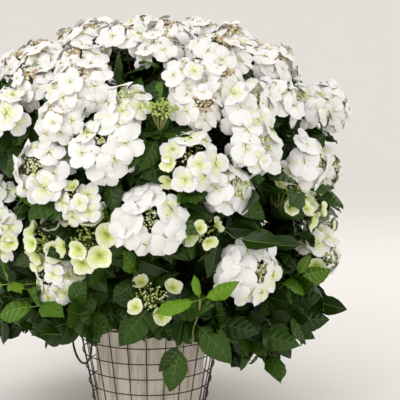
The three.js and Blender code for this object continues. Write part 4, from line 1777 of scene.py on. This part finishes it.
@dataclass
class Plant:
    """The shrub: canes, twigs, leaves and flower heads on the crown's rule."""

    crown: Crown
    body: str = "planter"
    cane_foot: float = 5.6
    cane_end: float = 4.2
    cane_sides: int = 10
    cane_rings: int = 44
    leader_foot: float = 4.4
    twig_foot: float = 2.6
    twig_end: float = 1.9
    twig_rings: int = 15
    red_from: float = 560.0

    def place(self, bundle: Bundle, name: str, paint: Paint, slot: str, kind: str) -> None:
        """Makes a bundle one piece, which stands for one kind of node in all the masses."""
        nodes = [f"{kind}_{mass.name}" for mass in self.crown.masses]
        place_piece(bundle.piece(name), paint, self.body, slot, nodes)

    def place_all(self, prefix: str, bundles: dict[Paint, Bundle], slot: str) -> None:
        """Makes each colour of some foliage one piece."""
        for paint, bundle in bundles.items():
            self.place(bundle, f"{prefix}_{paint.value.name}", paint, slot, "foliage")

    def build(self) -> None:
        """Builds every piece of the shrub."""
        self.build_canes()
        self.build_twigs()
        self.build_leaves()
        self.build_heads()

    def build_canes(self) -> None:
        """Builds the canes with ribbed bark and a swelling at each old pair of leaf scars."""
        bundle = Bundle()
        sides, rings = self.cane_sides, self.cane_rings
        for number, mass in enumerate(self.crown.masses):
            stream = Stream(Seed.CANE + number)
            shares = np.linspace(0.02, 1, rings)
            points = mass.cane.spaced(shares)
            length = float(norm(np.diff(points, axis=0), axis=1).sum())
            taper = self.cane_foot + (self.cane_end - self.cane_foot) * shares
            scars = 0.16 * np.exp(-(((shares * length) % 62 - 31) ** 2) / 14)
            ribs = np.array([stream.about(1, 0.24) for _ in range(sides)])
            rough = np.array([[stream.about(1, 0.12) for _ in range(sides)] for _ in range(rings)])
            radii = taper[:, None] * (0.94 + scars[:, None]) * ribs[None, :] * rough
            bundle.add(sweep(points, radii, sides))
        self.place(bundle, "canes", Paint.BARK, "bark", "cane")

    def build_twigs(self) -> None:
        """Builds the twigs, reddish where they carry heads high up and green below."""
        bundles = {Paint.TWIG_RED: Bundle(), Paint.TWIG_GREEN: Bundle()}
        for mass in self.crown.masses:
            for number, tip in enumerate(mass.tips):
                shares = np.linspace(0, 1, self.twig_rings)
                start = self.leader_foot if tip is mass.leader else self.twig_foot
                radii = start + (self.twig_end - start) * shares**0.7
                radii = radii * (1 + 0.16 * (np.arange(self.twig_rings) % 3 == 1))
                red = tip.z > self.red_from and number % 3 != 2
                bundle = bundles[Paint.TWIG_RED if red else Paint.TWIG_GREEN]
                bundle.add(sweep(tip.twig.spaced(shares), radii, 6))
        for twiglet in self.crown.twiglets:
            shares = np.linspace(0, 1, 8)
            radii = twiglet.start + (twiglet.end - twiglet.start) * shares
            bundle = bundles[Paint.TWIG_RED if twiglet.red else Paint.TWIG_GREEN]
            bundle.add(sweep(twiglet.curve.spaced(shares), radii, 4))
        self.place_all("twigs", bundles, "bark")

    def build_leaves(self) -> None:
        """Builds the leaves as one piece for each green, and their veins as two."""
        shapes = [
            LeafShape(),
            LeafShape(sag=0.3, twist=0.25, fold=0.3),
            LeafShape(sag=0.06, twist=-0.2, fold=0.12),
            LeafShape(sag=0.42, fold=0.36, half_width=0.235),
        ]
        blades = [shape.blade() for shape in shapes]
        ribs = [shape.midrib() for shape in shapes]
        veins = [shape.side_veins() for shape in shapes]
        plain = LeafShape(rows=6, across=2, quilt=0.0, tooth=0.0)
        shaded, shaded_rib = plain.blade(), plain.midrib()
        bundles: dict[Paint, Bundle] = {}
        stream = Stream(Seed.LEAF_SHAPE)
        for leaf in self.crown.leaves:
            number = int(stream.draw() * len(shapes))
            across = np.cross(leaf.direction, leaf.facing)
            wide = stream.about(0.68 if leaf.paint is Paint.LEAF_YOUNG else 1.0, 0.16)
            frame = np.array([across * wide, leaf.direction, leaf.facing]) * leaf.length
            blade = shaded if leaf.inner else blades[number]
            bundles.setdefault(leaf.paint, Bundle()).add(blade, frame, leaf.root)
            pale = leaf.paint in (Paint.LEAF_YOUNG, Paint.LEAF_LIGHT)
            rib = bundles.setdefault(Paint.RIB_LIGHT if pale else Paint.RIB_DEEP, Bundle())
            rib.add(shaded_rib if leaf.inner else ribs[number], frame, leaf.root)
            if not leaf.inner:
                vein = bundles.setdefault(Paint.VEIN_LIGHT if pale else Paint.VEIN_DEEP, Bundle())
                vein.add(veins[number], frame, leaf.root)
        self.place_all("leaves", bundles, "foliage")

    def build_heads(self) -> None:
        """Builds the flower heads, each kind and colour as one piece."""
        maker = HeadMaker()
        maker.model()
        stream = Stream(Seed.HEAD)
        for tip in [*self.crown.tips, *self.crown.side_tips]:
            if not tip.leafy:
                maker.add_head(tip, stream)
        bundles = {**maker.petals, **maker.buds, Paint.STALK: maker.stalks}
        self.place_all("heads", bundles, "foliage")


# The planter


def turned_shell(name: str, profile: Sequence[tuple[float, float]], steps: int) -> Piece:
    """Models a body of revolution by spinning a profile round Z.

    Args:
        name: The piece's name.
        profile: Radii and heights in millimetres, from the axis back to the axis.
        steps: Steps of the whole turn.

    Returns:
        The object.
    """
    data = bpy.data.meshes.new(name)
    points = [(radius * MM, 0.0, height * MM) for radius, height in profile]
    data.from_pydata(points, [(i, i + 1) for i in range(len(points) - 1)], [])
    obj = put(name, data)
    edit(
        obj,
        lambda: bpy.ops.mesh.spin(steps=steps, angle=2 * pi, center=(0, 0, 0), axis=(0, 0, 1)),
        lambda: bpy.ops.mesh.select_all(action="SELECT"),
        lambda: bpy.ops.mesh.remove_doubles(threshold=1e-6),
        lambda: bpy.ops.mesh.normals_make_consistent(inside=False),
    )
    return obj


def wire_path(
    name: str, paths: Sequence[Sequence[Array]], radius: float, cyclic: bool, sides: int = 2
) -> Piece:
    """Models round wires along paths, from curves.

    Args:
        name: The piece's name.
        paths: Points of each wire, in millimetres.
        radius: The wire's radius in millimetres.
        cyclic: True for wires that close on themselves.
        sides: Resolution of the round section.

    Returns:
        The wires as one mesh object.
    """
    deselect()
    bpy.ops.curve.primitive_bezier_circle_add(radius=1.0)
    obj = bpy.context.object
    obj.name = name
    curve = obj.data
    curve.splines.clear()
    for path in paths:
        spline = curve.splines.new("POLY")
        spline.points.add(len(path) - 1)
        for point, place in zip(spline.points, path):
            point.co = (*(np.asarray(place) * MM), 1.0)
        spline.use_cyclic_u = cyclic
        spline.use_smooth = True
    curve.dimensions = "3D"
    curve.bevel_depth = radius * MM
    curve.bevel_resolution = sides
    curve.use_fill_caps = not cyclic
    hold(obj)
    bpy.ops.object.convert(target="MESH")
    obj = bpy.context.object
    edit(
        obj,
        lambda: bpy.ops.mesh.remove_doubles(threshold=1e-6),
        lambda: bpy.ops.mesh.normals_make_consistent(inside=False),
    )
    hold(obj)
    bpy.ops.object.shade_smooth()
    return obj


@dataclass
class Planter:
    """The pot with its soil, and the wire basket that holds it."""

    body: str = "planter"
    pot_foot: float = 115.0
    pot_rim: float = 126.5
    pot_height: float = 220.0
    pot_wall: float = 9.0
    pot_base: float = 3.3
    pot_floor: float = 15.4
    soil_foot: float = 15.8
    soil_top: float = SOIL_TOP
    chip_count: int = 90
    foot_radius: float = BASKET_FOOT
    rim_radius: float = BASKET_RIM
    rim_height: float = BASKET_HEIGHT
    wire: float = BASKET_WIRE
    rim_wire: float = 4.5
    wire_share: float = 0.86
    rim_share: float = 0.92
    hoop_offset: float = 0.93
    wobble: float = 0.25
    uprights: int = 24
    rings: int = 5
    bar_offset: float = 58.0
    bar_radius: float = 1.25
    round_steps: int = 96

    def place(self, obj: Piece, paint: Paint, slot: str, *nodes: str) -> None:
        """Lets a piece ride on the planter and stand for its nodes."""
        place_piece(obj, paint, self.body, slot, nodes)

    def build(self) -> None:
        """Builds the pot, the soil and the basket."""
        self.build_pot()
        self.build_soil()
        self.build_basket()

    def build_pot(self) -> None:
        """Builds the pot: a tapered wall with a rolled lip and a worn foot."""
        slope = (self.pot_rim - self.pot_foot) / (self.pot_height - self.pot_base)

        def wall(height: float) -> float:
            """Gives the wall's outer radius at a height."""
            return self.pot_foot + slope * (height - self.pot_base)

        lip = self.pot_height
        inner = self.pot_rim - self.pot_wall
        profile = [
            (0, self.pot_base),
            (self.pot_foot - 6, self.pot_base),
            (self.pot_foot - 1.6, self.pot_base + 0.8),
            (wall(8), 8),
            *[(wall(z), z) for z in range(24, 200, 16)],
            (wall(lip - 16), lip - 16),
            (wall(lip - 12) + 0.3, lip - 12),
            (self.pot_rim - 0.2, lip - 3),
            (self.pot_rim - 1.4, lip - 0.7),
            (self.pot_rim - 3.5, lip),
            (inner + 2.5, lip),
            (inner + 0.6, lip - 1.2),
            (inner, lip - 4),
            (wall(120) - self.pot_wall, 120),
            (wall(20) - self.pot_wall, 20),
            (self.pot_foot - self.pot_wall - 6, self.pot_floor),
            (0, self.pot_floor),
        ]
        obj = turned_shell("pot_shell", profile, self.round_steps)
        roughen(obj, "pot_unevenness", 0.05, 2, 0.0012, 0.5)
        finish_modifiers(obj, 40)
        self.place(obj, Paint.POT, "pot", "pot")

    def build_soil(self) -> None:
        """Builds the soil's crumbly top and the bark chips that lie on it."""
        inner = self.pot_rim - self.pot_wall - 1.2
        profile = [
            (0, self.soil_foot),
            (self.pot_foot - self.pot_wall - 1, self.soil_foot),
            (inner - 1, self.soil_top - 2),
            *[(inner - 4 - i * (inner - 4) / 14, self.soil_top - 1.5) for i in range(14)],
            (0, self.soil_top - 1.5),
        ]
        obj = turned_shell("soil_fill", profile, 64)
        group = obj.vertex_groups.new(name="top")
        top = [v.index for v in obj.data.vertices if v.co.z > (self.soil_top - 3) * MM]
        group.add(top, 1.0, "REPLACE")
        displace = roughen(obj, "soil_crumbs", 0.014, 3, 0.008, 0.6)
        displace.direction = "Z"
        displace.vertex_group = group.name
        finish_modifiers(obj, 50)
        self.place(obj, Paint.SOIL, "soil", "soil")
        self.build_chips(inner)

    def build_chips(self, inner: float) -> None:
        """Scatters flat chips of bark over the soil."""
        stream = Stream(Seed.CHIP)

        def squeeze(_: Vector) -> Sequence[float]:
            """Gives a chip's length, width and thickness, a little different at each corner."""
            return 1.0 + 0.3 * stream.draw(), 0.5 + 0.2 * stream.draw(), 0.24 + 0.1 * stream.draw()

        pattern = Pattern.pebble(2, squeeze)
        bundle = Bundle()
        for _ in range(self.chip_count):
            radius = (inner - 12) * sqrt(stream.draw())
            angle = 2 * pi * stream.draw()
            turn = 2 * pi * stream.draw()
            size = 3.0 + 5.0 * stream.draw()
            tilt = unit(np.array([stream.about(0, 0.7), stream.about(0, 0.7), 1.0]))
            frame = upright_frame(tilt)
            x = frame[0] * cos(turn) + frame[1] * sin(turn)
            frame = np.array([x, np.cross(tilt, x), tilt]) * size
            bundle.add(pattern, frame, polar(radius, angle, self.soil_top - 0.5))
        self.place(bundle.piece("soil_chips"), Paint.CHIP, "soil")

    def wall_radius(self, z: float) -> float:
        """Gives the basket wall's radius at a height."""
        rise = (z - self.wire / 2) / (self.rim_height - self.wire / 2)
        return lerp(self.foot_radius, self.rim_radius, rise)

    def ring_height(self, index: int) -> float:
        """Gives the height of one of the rings between the foot and the rim."""
        return self.rim_height * (index + 1) / (self.rings + 1)

    def circle(self, radius: float, height: float, seed: int, wobble: float) -> list[Array]:
        """Gives the points of a hand-bent wire circle."""
        stream = Stream(seed)
        first, second = stream.draw() * 6.3, stream.draw() * 6.3
        points = []
        for i in range(self.round_steps):
            angle = 2 * pi * i / self.round_steps
            out = wobble * sin(2 * angle + first)
            up = wobble * sin(3 * angle + second)
            points.append(polar(radius + out, angle, height + up))
        return points

    def upright(self, number: int) -> list[Array]:
        """Gives the points of one upright, from the foot ring up and over the rim."""
        stream = Stream(Seed.UPRIGHT + number)
        angle = 2 * pi * number / self.uprights
        bow = stream.about(0, 1.0)
        path = []
        for k in range(9):
            z = lerp(self.wire / 2, self.rim_height, k / 8)
            swing = bow * sin(pi * k / 8) / self.wall_radius(z)
            path.append(polar(self.wall_radius(z), angle + swing, z))
        rim = polar(self.rim_radius, angle, self.rim_height)
        over = ((0.0, 1.2), (1.6, 2.6), (3.4, 0.6), (2.9, -4.0))
        return [*path, *[rim + polar(out, angle, up) for out, up in over]]

    def build_basket(self) -> None:
        """Builds the rim, the foot ring, the uprights, the rings, their welds and the base."""
        rim = self.circle(self.rim_radius, self.rim_height, Seed.RIM, 0.0)
        foot = self.circle(self.foot_radius, self.wire / 2, Seed.FOOT, 0.0)
        uprights = [self.upright(i) for i in range(self.uprights)]
        thin = self.wire / 2 * self.wire_share
        frame = (
            ("basket_rim", [rim], self.rim_wire / 2 * self.rim_share, True, 3),
            ("basket_foot_ring", [foot], self.wire / 2, True, 2),
            ("basket_uprights", uprights, thin, False, 2),
        )
        for name, paths, radius, cyclic, sides in frame:
            self.place(wire_path(name, paths, radius, cyclic, sides), Paint.WIRE, "wire", "basket_frame")
        for index in range(self.rings):
            height = self.ring_height(index)
            radius = self.wall_radius(height) + self.wire * self.hoop_offset
            line = self.circle(radius, height, Seed.HOOP + index, self.wobble)
            ring = wire_path(f"basket_hoop_{index + 1}", [line], thin, True)
            self.place(ring, Paint.WIRE, "wire", f"basket_ring_{index + 1}")
        self.build_welds()
        self.build_base()

    def build_welds(self) -> None:
        """Builds the bead of weld where each ring crosses an upright."""
        bead = Pattern.pebble(1, lambda place: (1.0, 1.0, 0.8))
        bundle = Bundle()
        stream = Stream(Seed.WELD)
        for index in range(self.rings):
            height = self.ring_height(index)
            for i in range(self.uprights):
                angle = 2 * pi * i / self.uprights
                size = stream.about(1.9, 0.5)
                frame = np.eye(3) * [size, size, size * 1.25]
                bundle.add(bead, frame, polar(self.wall_radius(height) + 1.4, angle, height))
        self.place(bundle.piece("basket_welds"), Paint.WIRE, "wire")

    def build_base(self) -> None:
        """Builds the crossing bars that carry the pot."""
        paths = []
        reach = self.foot_radius - 0.6
        for offset in (-self.bar_offset, 0.0, self.bar_offset):
            half = sqrt(reach**2 - offset**2)
            paths.append([np.array([offset, y, 1.3]) for y in np.linspace(-half, half, 7)])
            paths.append([np.array([x, offset, 1.75]) for x in np.linspace(-half, half, 7)])
        base = wire_path("basket_bars", paths, self.bar_radius, False)
        self.place(base, Paint.WIRE, "wire", "basket_base")


@dataclass
class DropHandle:
    """A bail that hangs from two eyes round the basket's rim."""

    name: str
    turn: float
    wire: float = 5.0
    half_width: float = 52.0
    drop: float = 84.0
    stand_off: float = 14.0
    eye_radius: float = 6.7
    rim_radius: float = BASKET_RIM
    rim_height: float = BASKET_HEIGHT
    inset: float = 0.6
    wire_share: float = 0.96

    def build(self) -> None:
        """Builds the bail, its two eyes and their hooked ends."""
        reach = sqrt(self.rim_radius**2 - self.half_width**2) - self.inset
        grip = reach + self.stand_off
        top = self.rim_height
        bend_top = top - self.drop + self.half_width
        half = self.eye_path(reach, top)
        half += [
            np.array([reach + self.eye_radius + 2.6, self.half_width, top - 9]),
            np.array([grip, self.half_width, top - 19]),
            np.array([grip, self.half_width, lerp(top - 19, bend_top, 0.5)]),
            np.array([grip, self.half_width, bend_top]),
        ]
        for step in range(1, 8):
            angle = pi / 2 * step / 8
            y, z = self.half_width * cos(angle), bend_top - self.half_width * sin(angle)
            half.append(np.array([grip, y, z]))
        low = np.array([grip, 0.0, top - self.drop])
        other = [point * [1, -1, 1] for point in reversed(half)]
        line = smooth_line([*half, low, *other], 6)
        turned = [point @ turn_matrix(self.turn) for point in line]
        obj = wire_path(f"{self.name}_bail", [turned], self.wire / 2 * self.wire_share, False, 3)
        place_piece(obj, Paint.WIRE, self.name, "wire", [self.name])

    def eye_path(self, reach: float, top: float) -> list[Array]:
        """Gives the points of one eye, from its cut end round the rim to where the bail begins."""
        points = []
        for degrees in range(-2, 330, 33):
            angle = radians(degrees)
            out, up = self.eye_radius * cos(angle), self.eye_radius * sin(angle)
            points.append(np.array([reach + out, self.half_width, top + up]))
        return points


def smooth_line(points: Sequence[Array], steps: int) -> list[Array]:
    """Runs a smooth line through points.

    Args:
        points: The points.
        steps: Steps from each to the next.

    Returns:
        The line's points, by the Catmull-Rom rule.
    """
    padded = [2 * points[0] - points[1], *points, 2 * points[-1] - points[-2]]
    line = []
    for a, b, c, d in zip(padded, padded[1:], padded[2:], padded[3:]):
        for k in range(steps):
            t = k / steps
            square = (2 * a - 5 * b + 4 * c - d) * t**2
            cube = (3 * b - 3 * c + d - a) * t**3
            line.append(0.5 * (2 * b + (c - a) * t + square + cube))
    line.append(points[-1])
    return line


# The studio


@dataclass(frozen=True)
class Lamp:
    """A square lamp that faces the plant: its place seen from the camera, its size and its power."""

    name: str
    back: float
    right: float
    up: float
    size: float
    power: float


@dataclass
class Studio:
    """A pale floor and wall, soft light and the camera."""

    azimuth: float = -30.0
    distance: float = 2.2
    shift_right: float = 0.112
    height: float = 0.71
    pitch: float = 6.15
    lens: float = 90.0
    floor_reach: float = 5.5
    bend: float = 3.6
    floor_drop: float = 0.5
    sky: Colour = (1.0, 0.985, 0.96)
    sky_strength: float = 0.84
    lit_height: float = 0.45
    lamps: tuple[Lamp, ...] = (
        Lamp("key", 2.2, -1.5, 2.3, 1.6, 30.0),
        Lamp("fill", 2.6, 2.2, 1.7, 2.0, 12.0),
        Lamp("rim", -1.8, 1.6, 2.4, 1.8, 14.0),
    )

    def build(self) -> None:
        """Builds the stage, the lights and the camera."""
        self.build_stage()
        self.build_lights()
        self.build_camera()

    def back(self) -> Vector:
        """Gives the level direction from the plant to the camera."""
        angle = radians(self.azimuth)
        return Vector((sin(angle), -cos(angle), 0.0))

    def seen_from(self, back: float, right: float, up: float) -> Vector:
        """Gives the place so far towards the camera from the plant, to its right and up."""
        level = self.back()
        return level * back + Vector((-level.y, level.x, 0.0)) * right + Vector((0, 0, up))

    def build_stage(self) -> None:
        """Builds the floor, which curves up into a low wall all round."""
        profile = [(0.0, -self.floor_drop), (self.floor_reach / MM, -self.floor_drop)]
        for step in range(1, 17):
            angle = pi / 2 * step / 16
            radius = self.floor_reach + self.bend * sin(angle)
            rise = (self.bend - self.bend * cos(angle)) / MM
            profile.append((radius / MM, rise - self.floor_drop))
        floor = turned_shell("floor", profile, 128)
        hold(floor)
        bpy.ops.object.shade_smooth()
        floor.data.materials.append(Paint.FLOOR.value.material())

    def build_lights(self) -> None:
        """Builds the soft key, the fill and the sky."""
        world = bpy.context.scene.world or bpy.data.worlds.new("sky")
        bpy.context.scene.world = world
        world.use_nodes = True
        background = world.node_tree.nodes["Background"]
        fill(background, {"Color": (*self.sky, 1.0), "Strength": self.sky_strength})
        middle = Vector((0.0, 0.0, self.lit_height))
        for lamp in self.lamps:
            data = bpy.data.lights.new(lamp.name, "AREA")
            data.energy = lamp.power
            data.size = lamp.size
            light = put(lamp.name, data)
            light.visible_camera = False
            light.location = self.seen_from(lamp.back, lamp.right, lamp.up)
            light.rotation_euler = (middle - light.location).to_track_quat("-Z", "Y").to_euler()
        bpy.context.scene.view_settings.view_transform = "Standard"

    def build_camera(self) -> None:
        """Builds the camera at the photograph's angle."""
        data = bpy.data.cameras.new("camera")
        data.lens = self.lens
        data.sensor_width = 36.0
        camera = put("camera", data)
        camera.location = self.seen_from(self.distance, self.shift_right, self.height)
        pitch = radians(self.pitch)
        aim = -self.back() * cos(pitch) - Vector((0, 0, sin(pitch)))
        camera.rotation_euler = aim.to_track_quat("-Z", "Y").to_euler()
        bpy.context.scene.camera = camera


def main() -> None:
    """Builds the plant, its planter and the studio."""
    logging.basicConfig(level=logging.INFO, format="%(message)s")
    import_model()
    deselect()
    crown = Crown()
    crown.grow()
    log.info("%d tips, %d leaves", len(crown.tips), len(crown.leaves))
    Planter().build()
    DropHandle("handle_right", 0.0).build()
    DropHandle("handle_left", pi).build()
    Plant(crown).build()
    Studio().build()


if __name__ == "__main__":
    main()
